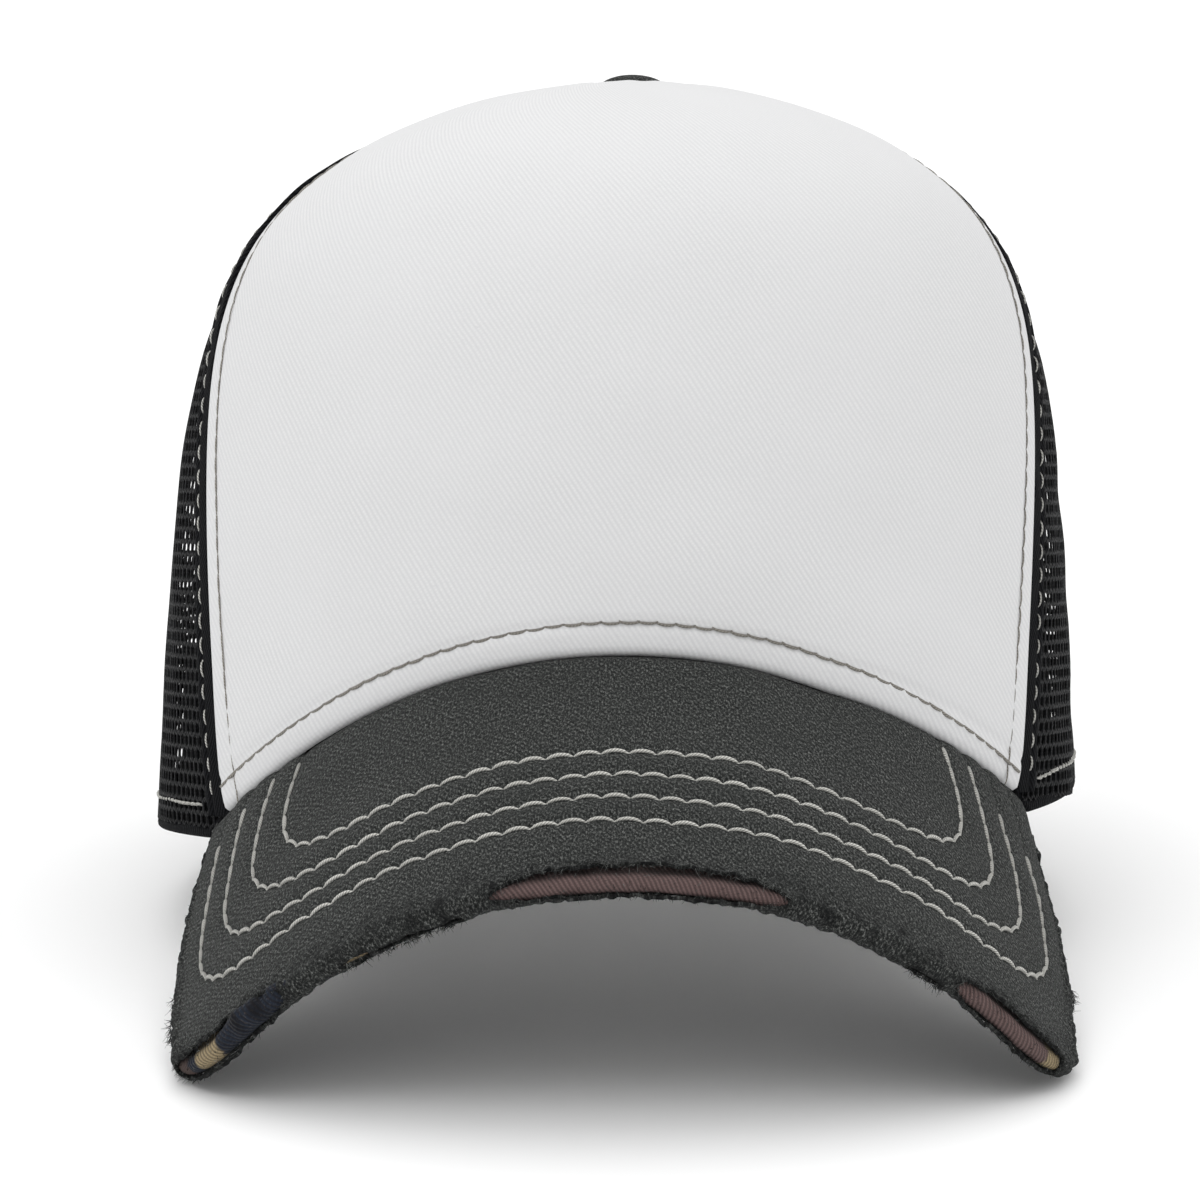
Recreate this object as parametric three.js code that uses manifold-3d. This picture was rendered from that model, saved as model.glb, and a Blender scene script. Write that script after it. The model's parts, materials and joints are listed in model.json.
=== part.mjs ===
// Trucker mesh cap: twill front panel, four mesh panels, bent visor, button and snap closure.
// Millimetres, +Z up, front towards -Y, the wearer's left towards +X. The cap is drawn in its own
// frame, with the rim in the plane z = 0, and then tipped back until it stands on its two visor
// tips and on the rim beside the back opening. The row's origin is under the middle of its box.
import * as THREE from 'three';
import { mergeVertices } from 'three/addons/utils/BufferGeometryUtils.js';
import Module from 'manifold-3d';

const wasm = await Module();
wasm.setup();

const DEGREE = Math.PI / 180;

// Crown
const HALF_WIDTH = 90;
const FRONT_DEPTH = 97;
const BACK_DEPTH = 101;
const CROWN_HEIGHT = 144;
const CROWN_LEAN = 0.08; // share by which the walls lean in between rim and top
const SHOULDER_POWER = 1.54; // roundness of the shoulder
const FRONT_POWER = 11; // how far up the wall stays straight, at the front, sides and back
const SIDE_POWER = 5.4;
const BACK_POWER = 3.2;
const TOP_SHIFT = 3.2; // the crown's top stands a little to the wearer's left
const TOP_SHIFT_POWER = 3; // and comes to it mostly over the upper part
const TOP_Y = 4;
const TOP_LEVEL = 0.9993; // panels end here, around the button's shank
const DIMPLE_DEPTH = 3.4; // the button pulls the cloth in
const DIMPLE_SHARE = 0.12;
const RIM_BAND = 0.15; // share of the height over which the cloth's lower edge turns level
const RIM_LIFT = 8.4; // the rim stands this much higher over the wearer's left ear
const RIM_LIFT_ANGLES = [25, 90, 116, 148].map((angle) => angle * DEGREE); // rises, then falls

// Seams between the five panels, as angles from the middle of the front
const FRONT_SEAM_RIM = 54 * DEGREE;
const FRONT_SEAM_SWEEP = 19.5 * DEGREE; // how far the front seam leans back up the straight wall
const FRONT_SEAM_SWEEP_POWER = 0.75;
const FRONT_SEAM_TURN = 16 * DEGREE; // and how much further it turns over the shoulder
const FRONT_SEAM_TURN_POWER = 12;
const BACK_SEAM_RIM = 125 * DEGREE;
const BACK_SEAM_TOP = 135 * DEGREE;
const BACK_MIDDLE = 180 * DEGREE;

// Cloth layers, as depths below the crown's outer surface
const FRONT_CLOTH = [0, 0.7];
const STRIP_CLOTH = [0, 0.6];
const MESH_CLOTH = [0.9, 1.5];
const BUCKRAM_CLOTH = [1.3, 1.9];
const TAPE_CLOTH = [2.4, 2.9];
const TAB_PLASTIC = [3.3, 4.3];
const BAND_CLOTH = [4.7, 5.8];
const CLOTH_GAP = 0.5;
const STRIP_WIDTH = 7;
const STRIP_WIDEST_ANGLE = 80 * DEGREE;
const TAPE_WIDTH = 13;
const TAPE_UPPER_ROWS = 8; // tapes end around the button's washer
const RIM_TAPE_HEIGHT = 9;
const TAPE_GAP = 1.8;
const BAND_HEIGHT = 33;
const BAND_LIFT = 1.2;
const BAND_END_GAP = 3.5;

// Back opening, its binding and the closure
const ARCH_HALF_WIDTH = 38;
const ARCH_STRAIGHT = 22; // height of the opening's upright sides
const ARCH_RISE = 24;
const BINDING_WIDTH = 8;
const STRAP_LOW = 3;
const STRAP_HIGH = 21;
const STRAP_THICKNESS = 1.2;
const STRAP_STEP = 0.85; // each strap lies this far to its side of their common middle line
const STRAP_ROOT = 36.3;
const STRAP_TIP = -27;
const STRAP_TIP_RADIUS = 6;
const STRAP_BEND = 160; // radius of the bent straps
const TAB_INNER_X = 39; // at the outer surface; the tabs lie deeper and nearer the middle
const TAB_OUTER_X = 54;
const SNAP_COUNT = 7;
const SNAP_PITCH = 9;
const SNAP_FIRST = -22.5;
const HOLE_RADIUS = 2.3;
const PEG_RADIUS = 1.7;
const PEG_REACH = 3.2;

// Visor: a board bent over an oval arch that slopes down and flattens towards the front
const SEAM_TOP = 34.8; // height of the visor seam in the middle
const SEAM_RADIUS = 104; // the seam is an arc, seen from the front
const VISOR_SLOPE = 33 * DEGREE;
const VISOR_LENGTH = 68;
const VISOR_END = 58 * DEGREE; // the visor is sewn on as far round as this
const VISOR_FLAT_HALF = 94.5;
const VISOR_FRONT_SAG = 6;
const VISOR_CORNER = 19;
const VISOR_FLARE = 3.6; // how soon the visor's sides reach their full width
const OVAL_WIDE = 105; // half axes of the oval, across and down
const OVAL_DEEP = 163;
const OVAL_FLATTEN = 0.33; // how much less deep it is for each millimetre forward
const VISOR_SEAM_GAP = 0.6;
const VISOR_LAYERS = {
  visor_top_cover: { depths: [0, 0.7], inset: 0 },
  visor_liner: { depths: [1.0, 1.5], inset: 0.6 },
  visor_board: { depths: [1.8, 3.8], inset: 1.2 },
  visor_under_cover: { depths: [4.1, 4.8], inset: 0 },
};

// Button
const BUTTON_RADIUS = 7;
const BUTTON_HEIGHT = 4.2;
const BUTTON_EDGE = 1;
const SHANK_RADIUS = 1.5;
const WASHER_RADIUS = 9;
const WASHER_THICKNESS = 1;
const WASHER_DROP = 2.4;
const BUTTON_LIFT = 0.7;
const PART_GAP = 0.3;

const REST_TIP_BACK = -11.56 * DEGREE;
const NUDGE = 1e-5;
const MERGE_DISTANCE = 1e-4; // corners closer together than this are one corner
const SOLVING_ROUNDS = 12; // enough for a level on the lower edge to settle

const MATERIALS = {
  white_twill: { color: '#e6e6e8', roughness: 0.9, metalness: 0 },
  black_twill: { color: '#1b1c1f', roughness: 0.85, metalness: 0 },
  black_mesh: { color: '#17191c', roughness: 0.6, metalness: 0 },
  charcoal_twill: { color: '#3b3d3c', roughness: 0.95, metalness: 0 },
  camo_twill: { color: '#4a403c', roughness: 0.95, metalness: 0 },
  white_buckram: { color: '#d9d8d2', roughness: 0.8, metalness: 0 },
  visor_plastic: { color: '#c9c9c4', roughness: 0.5, metalness: 0 },
  black_cotton: { color: '#1a1b1d', roughness: 0.95, metalness: 0 },
  strap_plastic: { color: '#141517', roughness: 0.4, metalness: 0 },
  button_metal: { color: '#9a9b9d', roughness: 0.4, metalness: 1 },
};

const cap = new THREE.Group();
cap.rotation.x = REST_TIP_BACK;

function addPart(name, materialName, geometry) {
  const mesh = new THREE.Mesh(geometry, new THREE.MeshStandardMaterial(MATERIALS[materialName]));
  mesh.name = name;
  cap.add(mesh);
  return mesh;
}

// --- Solids ------------------------------------------------------------------------------------

function signedVolume(points, faces) {
  return faces.reduce((sum, [a, b, c]) => {
    const normal = new THREE.Vector3().crossVectors(points[b], points[c]);
    return sum + points[a].dot(normal) / 6;
  }, 0);
}

// A sheet of even thickness as one closed solid. pointAt takes the shares across and up the sheet,
// and the depth below its outer face.
function sheetSolid(pointAt, columns, rows, [outer, inner]) {
  const points = [];
  for (const depth of [outer, inner]) {
    for (let row = 0; row <= rows; row += 1) {
      for (let column = 0; column <= columns; column += 1) {
        points.push(pointAt(column / columns, row / rows, depth));
      }
    }
  }
  const layerSize = (columns + 1) * (rows + 1);
  const at = (column, row, layer) => layer * layerSize + row * (columns + 1) + column;
  const faces = [];
  const addQuad = (a, b, c, d) => faces.push([a, b, c], [a, c, d]);
  for (let row = 0; row < rows; row += 1) {
    for (let column = 0; column < columns; column += 1) {
      const corners = [[column, row], [column + 1, row], [column + 1, row + 1], [column, row + 1]];
      addQuad(...corners.map(([i, j]) => at(i, j, 0)));
      addQuad(...corners.reverse().map(([i, j]) => at(i, j, 1)));
    }
  }
  for (let column = 0; column < columns; column += 1) {
    addQuad(at(column + 1, 0, 0), at(column, 0, 0), at(column, 0, 1), at(column + 1, 0, 1));
    addQuad(at(column, rows, 0), at(column + 1, rows, 0), at(column + 1, rows, 1), at(column, rows, 1));
  }
  for (let row = 0; row < rows; row += 1) {
    addQuad(at(0, row, 0), at(0, row + 1, 0), at(0, row + 1, 1), at(0, row, 1));
    addQuad(at(columns, row + 1, 0), at(columns, row, 0), at(columns, row, 1), at(columns, row + 1, 1));
  }
  if (signedVolume(points, faces) < 0) faces.forEach((face) => face.reverse());
  const geometry = new THREE.BufferGeometry().setFromPoints(points);
  geometry.setIndex(faces.flat());
  return geometry;
}

function toSolid(geometry) {
  const bare = geometry.clone();
  bare.deleteAttribute('normal');
  bare.deleteAttribute('uv');
  const merged = mergeVertices(bare, MERGE_DISTANCE);
  const mesh = new wasm.Mesh({
    numProp: 3,
    vertProperties: merged.attributes.position.array,
    triVerts: Uint32Array.from(merged.index.array),
  });
  return new wasm.Manifold(mesh);
}

function toGeometry(solid) {
  const mesh = solid.getMesh();
  const geometry = new THREE.BufferGeometry();
  geometry.setAttribute('position', new THREE.BufferAttribute(mesh.vertProperties, 3));
  geometry.setIndex(new THREE.BufferAttribute(mesh.triVerts, 1));
  return geometry;
}

// --- Crown surface -----------------------------------------------------------------------------

// An angle is measured round the crown from the middle of the front towards the wearer's left, and
// a level is the share of the crown's height.
function straightness(angle) {
  const facing = Math.cos(angle);
  const slant = (FRONT_POWER - BACK_POWER) / 2;
  const bulge = (FRONT_POWER + BACK_POWER) / 2 - SIDE_POWER;
  return SIDE_POWER + slant * facing + bulge * facing ** 2;
}

function crownSurface(angle, level) {
  const climbed = Math.max(0, level) ** straightness(angle);
  const share = (1 - CROWN_LEAN * level) * (1 - climbed) ** (1 / SHOULDER_POWER);
  const depth = Math.cos(angle) > 0 ? FRONT_DEPTH : BACK_DEPTH;
  const dimple = DIMPLE_DEPTH * Math.exp(-((share / DIMPLE_SHARE) ** 4));
  return new THREE.Vector3(
    HALF_WIDTH * Math.sin(angle) * share + TOP_SHIFT * level ** TOP_SHIFT_POWER,
    TOP_Y + (-depth * Math.cos(angle) - TOP_Y) * share,
    CROWN_HEIGHT * level - dimple,
  );
}

function crownPoint(angle, level, depth) {
  const round = crownSurface(angle + NUDGE, level).sub(crownSurface(angle - NUDGE, level));
  const up = crownSurface(angle, level + NUDGE).sub(crownSurface(angle, level - NUDGE));
  const outward = round.cross(up).normalize();
  outward.z *= Math.min(1, level / RIM_BAND);
  return crownSurface(angle, level).addScaledVector(outward, -depth);
}

// Moves an angle round the crown by a distance in millimetres
function shiftAngle(angle, level, distance, widest = Math.PI) {
  const perRadian = crownSurface(angle + NUDGE, level).distanceTo(crownSurface(angle, level)) / NUDGE;
  const turn = THREE.MathUtils.clamp(distance / perRadian, -widest, widest);
  return angle + turn;
}

// Distance up the side wall at each level, with the dimple's slope counted several times so that
// rows of cloth lie closer together there
const LADDER_STEPS = 600;
const DIMPLE_WEIGHT = 5;
const ladder = [{ level: 0, length: 0 }];
for (let step = 1; step <= LADDER_STEPS; step += 1) {
  const last = ladder[step - 1];
  const level = TOP_LEVEL * (1 - (1 - step / LADDER_STEPS) ** 3);
  const here = crownSurface(Math.PI / 2, level);
  const rise = here.distanceTo(crownSurface(Math.PI / 2, last.level));
  const nearTop = Math.exp(-((here.x / HALF_WIDTH / (2 * DIMPLE_SHARE)) ** 2));
  ladder.push({ level, length: last.length + rise * (1 + DIMPLE_WEIGHT * nearTop) });
}

function readLadder(given, wanted, value) {
  const above = ladder.findIndex((rung) => rung[given] >= value);
  const step = above < 0 ? LADDER_STEPS : Math.max(1, above);
  const low = ladder[step - 1];
  const high = ladder[step];
  const share = (value - low[given]) / (high[given] - low[given]);
  return low[wanted] + (high[wanted] - low[wanted]) * share;
}

function seamHeight(x) {
  return SEAM_TOP - (SEAM_RADIUS - Math.sqrt(SEAM_RADIUS ** 2 - x ** 2));
}

function rimLift(angle) {
  const [start, full, leave, end] = RIM_LIFT_ANGLES;
  const rising = (angle - start) / (full - start);
  const falling = (end - angle) / (end - leave);
  return RIM_LIFT * THREE.MathUtils.clamp(Math.min(rising, falling), 0, 1);
}

// The crown's lower edge: it follows the visor seam at the front and the rim elsewhere
function edgeLevel(angle, level) {
  const atSeam = Math.cos(angle) > 0 ? Math.max(0, seamHeight(crownSurface(angle, level).x)) : 0;
  return (atSeam + rimLift(angle)) / CROWN_HEIGHT;
}

// Every sheet that runs up to the button has its rows at the same levels, so that layers of cloth
// stay parallel. Below JOIN_LEVEL, where the wall is straight, the rows spread from its own edge.
const LOWER_ROWS = 4;
const UPPER_ROWS = 14;
const JOIN_LEVEL = 0.42;
const joinLength = readLadder('level', 'length', JOIN_LEVEL);
const topLength = ladder[LADDER_STEPS].length;
const upperLevels = Array.from({ length: UPPER_ROWS + 1 }, (_, row) => (
  readLadder('length', 'level', joinLength + (topLength - joinLength) * row / UPPER_ROWS)
));

function sheetLevel(low, row) {
  if (row >= LOWER_ROWS) return upperLevels[row - LOWER_ROWS];
  return THREE.MathUtils.lerp(low, JOIN_LEVEL, row / LOWER_ROWS);
}

// A sheet between two seams. With a height it is a band along its lower edge, in the given number
// of rows; without one it runs up through upperRows of the shared rows.
function crownSheet(options) {
  const { from, to, bottom = edgeLevel, lift = 0, height, depths, columns } = options;
  const { upperRows = UPPER_ROWS, rows = LOWER_ROWS + upperRows } = options;
  const angleAt = (share, level) => from(level) + (to(level) - from(level)) * share;
  const pointAt = (across, upward, depth) => {
    let low = 0;
    for (let round = 0; round < SOLVING_ROUNDS; round += 1) low = bottom(angleAt(across, low), low);
    low += lift / CROWN_HEIGHT;
    const bandLevel = low + upward * (height ?? 0) / CROWN_HEIGHT;
    const level = height ? bandLevel : sheetLevel(low, Math.round(upward * rows));
    return crownPoint(angleAt(across, level), level, depth);
  };
  return sheetSolid(pointAt, columns, rows, depths);
}

const frontSeam = (level) => (
  FRONT_SEAM_RIM
  + FRONT_SEAM_SWEEP * level ** FRONT_SEAM_SWEEP_POWER
  + FRONT_SEAM_TURN * level ** FRONT_SEAM_TURN_POWER
);
const backSeam = (level) => BACK_SEAM_RIM + (BACK_SEAM_TOP - BACK_SEAM_RIM) * level;

// The same sheet on the wearer's left (side = 1) or right (side = -1)
function sideSheet(side, inner, outer, options) {
  return crownSheet({
    from: (level) => side * inner(level),
    to: (level) => side * outer(level),
    ...options,
  });
}

// --- Front panel and its stiffener -------------------------------------------------------------

const PANEL_COLUMNS = 24;
const BUCKRAM_INSET = 1.5;
addPart('front_panel', 'white_twill', crownSheet({
  from: (level) => -frontSeam(level),
  to: frontSeam,
  depths: FRONT_CLOTH,
  columns: PANEL_COLUMNS,
}));
addPart('front_buckram', 'white_buckram', crownSheet({
  from: (level) => -shiftAngle(frontSeam(level), level, -BUCKRAM_INSET),
  to: (level) => shiftAngle(frontSeam(level), level, -BUCKRAM_INSET),
  lift: BUCKRAM_INSET,
  depths: BUCKRAM_CLOTH,
  columns: PANEL_COLUMNS,
}));

// --- Mesh panels, seam strips and tapes --------------------------------------------------------

const ARCH_BELOW_RIM = 10;
const ARCH_BLOCK_BACK = 140; // the cutting block reaches from behind the crown to its middle
const ARCH_BLOCK_DEPTH = 100;
const ARCH_CURVE_STEPS = 10;

function archShape(extra) {
  const halfWidth = ARCH_HALF_WIDTH + extra;
  const shape = new THREE.Shape();
  shape.moveTo(halfWidth, -ARCH_BELOW_RIM);
  shape.lineTo(halfWidth, ARCH_STRAIGHT);
  shape.absellipse(0, ARCH_STRAIGHT, halfWidth, ARCH_RISE + extra, 0, Math.PI, false);
  shape.lineTo(-halfWidth, -ARCH_BELOW_RIM);
  return shape;
}

// The opening's outline carried straight back through the crown
function archBlock(extra) {
  const block = new THREE.ExtrudeGeometry(archShape(extra), {
    depth: ARCH_BLOCK_DEPTH,
    bevelEnabled: false,
    curveSegments: ARCH_CURVE_STEPS,
  });
  block.rotateX(Math.PI / 2);
  block.translate(0, ARCH_BLOCK_BACK, 0);
  return toSolid(block);
}

const MESH_COLUMNS = 10;
const NARROW_COLUMNS = 2; // of strips and tapes
const RIM_TAPE_COLUMNS = 16;
const SIDES = { left: 1, right: -1 };
const BINDING_GAP = 2.5;
const archHeight = ARCH_STRAIGHT + ARCH_RISE;

for (const [sideName, side] of Object.entries(SIDES)) {
  addPart(`side_mesh_${sideName}`, 'black_mesh', sideSheet(
    side,
    (level) => shiftAngle(frontSeam(level), level, CLOTH_GAP),
    (level) => shiftAngle(backSeam(level), level, -CLOTH_GAP / 2),
    { depths: MESH_CLOTH, columns: MESH_COLUMNS },
  ));

  const backMesh = toSolid(sideSheet(
    side,
    (level) => shiftAngle(backSeam(level), level, CLOTH_GAP / 2),
    (level) => shiftAngle(BACK_MIDDLE, level, -CLOTH_GAP / 2),
    { depths: MESH_CLOTH, columns: MESH_COLUMNS },
  ));
  addPart(`back_mesh_${sideName}`, 'black_mesh', toGeometry(backMesh.subtract(archBlock(0))));

  addPart(`seam_strip_${sideName}`, 'black_twill', sideSheet(
    side,
    (level) => shiftAngle(frontSeam(level), level, PART_GAP),
    (level) => shiftAngle(frontSeam(level), level, STRIP_WIDTH, STRIP_WIDEST_ANGLE),
    { depths: STRIP_CLOTH, columns: NARROW_COLUMNS },
  ));

  for (const [seamName, seam] of Object.entries({ front: frontSeam, back: backSeam })) {
    addPart(`${seamName}_seam_tape_${sideName}`, 'black_cotton', sideSheet(
      side,
      (level) => shiftAngle(seam(level), level, -TAPE_WIDTH / 2),
      (level) => shiftAngle(seam(level), level, TAPE_WIDTH / 2),
      {
        upperRows: TAPE_UPPER_ROWS,
        lift: RIM_TAPE_HEIGHT + TAPE_GAP,
        depths: TAPE_CLOTH,
        columns: NARROW_COLUMNS,
      },
    ));
  }

  addPart(`rim_tape_${sideName}`, 'black_cotton', sideSheet(
    side,
    () => FRONT_SEAM_RIM,
    () => Math.PI - Math.asin((ARCH_HALF_WIDTH + BINDING_WIDTH + BINDING_GAP) / HALF_WIDTH),
    { depths: TAPE_CLOTH, height: RIM_TAPE_HEIGHT, columns: RIM_TAPE_COLUMNS, rows: 1 },
  ));
}

addPart('centre_back_tape', 'black_cotton', crownSheet({
  from: (level) => shiftAngle(BACK_MIDDLE, level, -TAPE_WIDTH / 2),
  to: (level) => shiftAngle(BACK_MIDDLE, level, TAPE_WIDTH / 2),
  bottom: () => (archHeight + BINDING_WIDTH + BINDING_GAP) / CROWN_HEIGHT,
  upperRows: TAPE_UPPER_ROWS,
  depths: TAPE_CLOTH,
  columns: NARROW_COLUMNS,
}));

// --- Back opening's binding --------------------------------------------------------------------

const BINDING_HALF_ANGLE = 35 * DEGREE;
const BINDING_COLUMNS = 14;
const BINDING_ROWS = 7;
const bindingBlank = toSolid(crownSheet({
  from: () => BACK_MIDDLE - BINDING_HALF_ANGLE,
  to: () => BACK_MIDDLE + BINDING_HALF_ANGLE,
  height: archHeight + 2 * BINDING_WIDTH,
  depths: TAPE_CLOTH,
  columns: BINDING_COLUMNS,
  rows: BINDING_ROWS,
}));
const bindingRing = archBlock(BINDING_WIDTH).subtract(archBlock(0));
addPart('arch_binding', 'black_twill', toGeometry(bindingBlank.intersect(bindingRing)));

// --- Sweatband ---------------------------------------------------------------------------------

const BAND_COLUMNS = 48;
const BAND_ROWS = 4;
const bandEnd = Math.PI - Math.asin((ARCH_HALF_WIDTH + BAND_END_GAP) / HALF_WIDTH);
addPart('sweatband', 'black_cotton', crownSheet({
  from: () => -bandEnd,
  to: () => bandEnd,
  lift: BAND_LIFT,
  height: BAND_HEIGHT,
  depths: BAND_CLOTH,
  columns: BAND_COLUMNS,
  rows: BAND_ROWS,
}));

// --- Visor -------------------------------------------------------------------------------------

const seamMiddle = crownSurface(0, SEAM_TOP / CROWN_HEIGHT);

// A point of the board's upper surface. along is measured round the oval from the middle, and
// forward from the visor seam down the slope.
function boardPoint(along, forward) {
  const angle = along / OVAL_WIDE;
  const drop = (OVAL_DEEP - OVAL_FLATTEN * forward) * (1 - Math.cos(angle));
  return new THREE.Vector3(
    OVAL_WIDE * Math.sin(angle),
    seamMiddle.y - forward * Math.cos(VISOR_SLOPE) + drop * Math.sin(VISOR_SLOPE),
    seamMiddle.z - forward * Math.sin(VISOR_SLOPE) - drop * Math.cos(VISOR_SLOPE),
  );
}

// The crown's front edge, and where it lies on the board
function seamPoint(across) {
  let level = 0;
  for (let round = 0; round < SOLVING_ROUNDS; round += 1) {
    level = edgeLevel(across * VISOR_END, level);
  }
  return crownSurface(across * VISOR_END, level);
}

function flatSeam(across) {
  const point = seamPoint(across);
  const offset = point.clone().sub(seamMiddle);
  const forward = -(offset.y * Math.cos(VISOR_SLOPE) + offset.z * Math.sin(VISOR_SLOPE));
  return { along: OVAL_WIDE * Math.asin(point.x / OVAL_WIDE), forward };
}

// The flat board's outer edge: a shallow front arc and a round corner, then the straight side
function flatOutline(across, inset) {
  const halfWidth = VISOR_FLAT_HALF - inset;
  const length = VISOR_LENGTH - inset;
  const corner = VISOR_CORNER - inset;
  const frontRadius = (halfWidth ** 2 + VISOR_FRONT_SAG ** 2) / (2 * VISOR_FRONT_SAG);
  const cornerAlong = halfWidth - corner;
  const cornerForward = length - frontRadius
    + Math.sqrt((frontRadius - corner) ** 2 - cornerAlong ** 2);
  const turn = Math.asin(cornerAlong / (frontRadius - corner));
  const frontLength = frontRadius * turn;
  const cornerLength = corner * (Math.PI / 2 - turn);
  const travelled = Math.abs(across) * (frontLength + cornerLength);
  const side = Math.sign(across);
  if (travelled <= frontLength) {
    const angle = travelled / frontRadius;
    const forward = length - frontRadius * (1 - Math.cos(angle));
    return { along: side * frontRadius * Math.sin(angle), forward };
  }
  const angle = turn + (travelled - frontLength) / corner;
  const along = side * (cornerAlong + corner * Math.sin(angle));
  return { along, forward: cornerForward + corner * Math.cos(angle) };
}

function visorPoint(across, outward, depth, inset) {
  const start = flatSeam(across);
  const end = flatOutline(across, inset);
  const fit = seamPoint(across).sub(boardPoint(start.along, start.forward));
  const flared = 1 - (1 - outward) ** VISOR_FLARE;
  const along = THREE.MathUtils.lerp(start.along, end.along, flared);
  const forward = THREE.MathUtils.lerp(start.forward + VISOR_SEAM_GAP, end.forward, outward);
  const round = boardPoint(along + NUDGE, forward).sub(boardPoint(along - NUDGE, forward));
  const ahead = boardPoint(along, forward + NUDGE).sub(boardPoint(along, forward - NUDGE));
  const upward = ahead.cross(round).normalize();
  const surface = boardPoint(along, forward).addScaledVector(fit, (1 - outward) ** 2);
  return surface.addScaledVector(upward, -depth);
}

const VISOR_COLUMNS = 26;
const VISOR_ROWS = 7;
const visorMaterials = {
  visor_top_cover: 'charcoal_twill',
  visor_liner: 'camo_twill',
  visor_board: 'visor_plastic',
  visor_under_cover: 'charcoal_twill',
};
for (const [name, { depths, inset }] of Object.entries(VISOR_LAYERS)) {
  const pointAt = (u, v, depth) => visorPoint(2 * u - 1, v, depth, inset);
  addPart(name, visorMaterials[name], sheetSolid(pointAt, VISOR_COLUMNS, VISOR_ROWS, depths));
}

// --- Button ------------------------------------------------------------------------------------

const ROUND_SIDES = 24;
const THIN_SIDES = 16; // of the shank, the snap holes and the pegs
const pole = new THREE.Vector3(TOP_SHIFT, TOP_Y, CROWN_HEIGHT - DIMPLE_DEPTH);
const buttonProfile = [new THREE.Vector2(0, 0), new THREE.Vector2(BUTTON_RADIUS - BUTTON_EDGE, 0)];
const DOME_STEPS = 6;
for (let step = 0; step <= DOME_STEPS; step += 1) {
  const angle = (step / DOME_STEPS) * Math.PI / 2;
  const radius = BUTTON_RADIUS * Math.cos(angle);
  const height = BUTTON_EDGE + (BUTTON_HEIGHT - BUTTON_EDGE) * Math.sin(angle);
  buttonProfile.push(new THREE.Vector2(step === DOME_STEPS ? 0 : radius, height));
}
const buttonGeometry = new THREE.LatheGeometry(buttonProfile, ROUND_SIDES);
buttonGeometry.rotateX(Math.PI / 2);
buttonGeometry.translate(pole.x, pole.y, pole.z + BUTTON_LIFT);
addPart('top_button', 'charcoal_twill', buttonGeometry);

const washerTop = pole.z - WASHER_DROP;
const washerHole = SHANK_RADIUS + PART_GAP;
const washerProfile = [
  new THREE.Vector2(washerHole, 0),
  new THREE.Vector2(WASHER_RADIUS, 0),
  new THREE.Vector2(WASHER_RADIUS, WASHER_THICKNESS),
  new THREE.Vector2(washerHole, WASHER_THICKNESS),
  new THREE.Vector2(washerHole, 0),
];
const washerGeometry = new THREE.LatheGeometry(washerProfile, ROUND_SIDES);
washerGeometry.rotateX(Math.PI / 2);
washerGeometry.translate(pole.x, pole.y, washerTop - WASHER_THICKNESS);
addPart('button_back', 'black_cotton', washerGeometry);

const shankLength = WASHER_DROP + WASHER_THICKNESS;
const shankGeometry = new THREE.CylinderGeometry(SHANK_RADIUS, SHANK_RADIUS, shankLength, THIN_SIDES);
shankGeometry.rotateX(Math.PI / 2);
shankGeometry.translate(pole.x, pole.y, pole.z - shankLength / 2);
addPart('button_shank', 'button_metal', shankGeometry);

// --- Snap closure ------------------------------------------------------------------------------

const strapMiddle = (STRAP_LOW + STRAP_HIGH) / 2;
const strapRootPoint = crownPoint(
  Math.PI - Math.asin(TAB_INNER_X / HALF_WIDTH),
  strapMiddle / CROWN_HEIGHT,
  (TAB_PLASTIC[0] + TAB_PLASTIC[1]) / 2,
);

function strapLine(x) {
  const rise = Math.sqrt(STRAP_BEND ** 2 - x ** 2) - Math.sqrt(STRAP_BEND ** 2 - STRAP_ROOT ** 2);
  return strapRootPoint.y + rise;
}

const STRAP_COLUMNS = 22;

// A strap from its root on one side (1 or -1) to its rounded tip past the middle. step is the
// distance of its middle line outside the straps' common line.
function strapGeometry(side, step) {
  const halfHeight = (STRAP_HIGH - STRAP_LOW) / 2;
  const pointAt = (u, v, depth) => {
    const fromTip = (STRAP_ROOT - STRAP_TIP) * (1 - Math.cos(u * Math.PI / 2));
    const x = STRAP_TIP + fromTip;
    const inCorner = Math.max(0, STRAP_TIP_RADIUS - fromTip);
    const cut = STRAP_TIP_RADIUS - Math.sqrt(STRAP_TIP_RADIUS ** 2 - inCorner ** 2);
    const z = strapMiddle + (2 * v - 1) * (halfHeight - cut);
    return new THREE.Vector3(side * x, strapLine(x) + step - depth, z);
  };
  return sheetSolid(pointAt, STRAP_COLUMNS, 1, [-STRAP_THICKNESS / 2, STRAP_THICKNESS / 2]);
}

function snapCylinder(x, radius, from, to) {
  const cylinder = new THREE.CylinderGeometry(radius, radius, to - from, THIN_SIDES);
  cylinder.translate(x, (from + to) / 2, 0);
  cylinder.translate(0, strapLine(x), strapMiddle);
  return toSolid(cylinder);
}

const snapPlaces = Array.from({ length: SNAP_COUNT }, (_, index) => SNAP_FIRST + index * SNAP_PITCH);

let holeStrap = toSolid(strapGeometry(1, STRAP_STEP));
for (const x of snapPlaces) {
  holeStrap = holeStrap.subtract(snapCylinder(x, HOLE_RADIUS, 0, 2 * STRAP_STEP + STRAP_THICKNESS));
}
addPart('hole_strap', 'strap_plastic', toGeometry(holeStrap));

let pegStrap = toSolid(strapGeometry(-1, -STRAP_STEP));
for (const x of snapPlaces) {
  pegStrap = pegStrap.add(snapCylinder(-x, PEG_RADIUS, -STRAP_STEP, PEG_REACH - STRAP_STEP));
}
addPart('peg_strap', 'strap_plastic', toGeometry(pegStrap));

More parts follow.
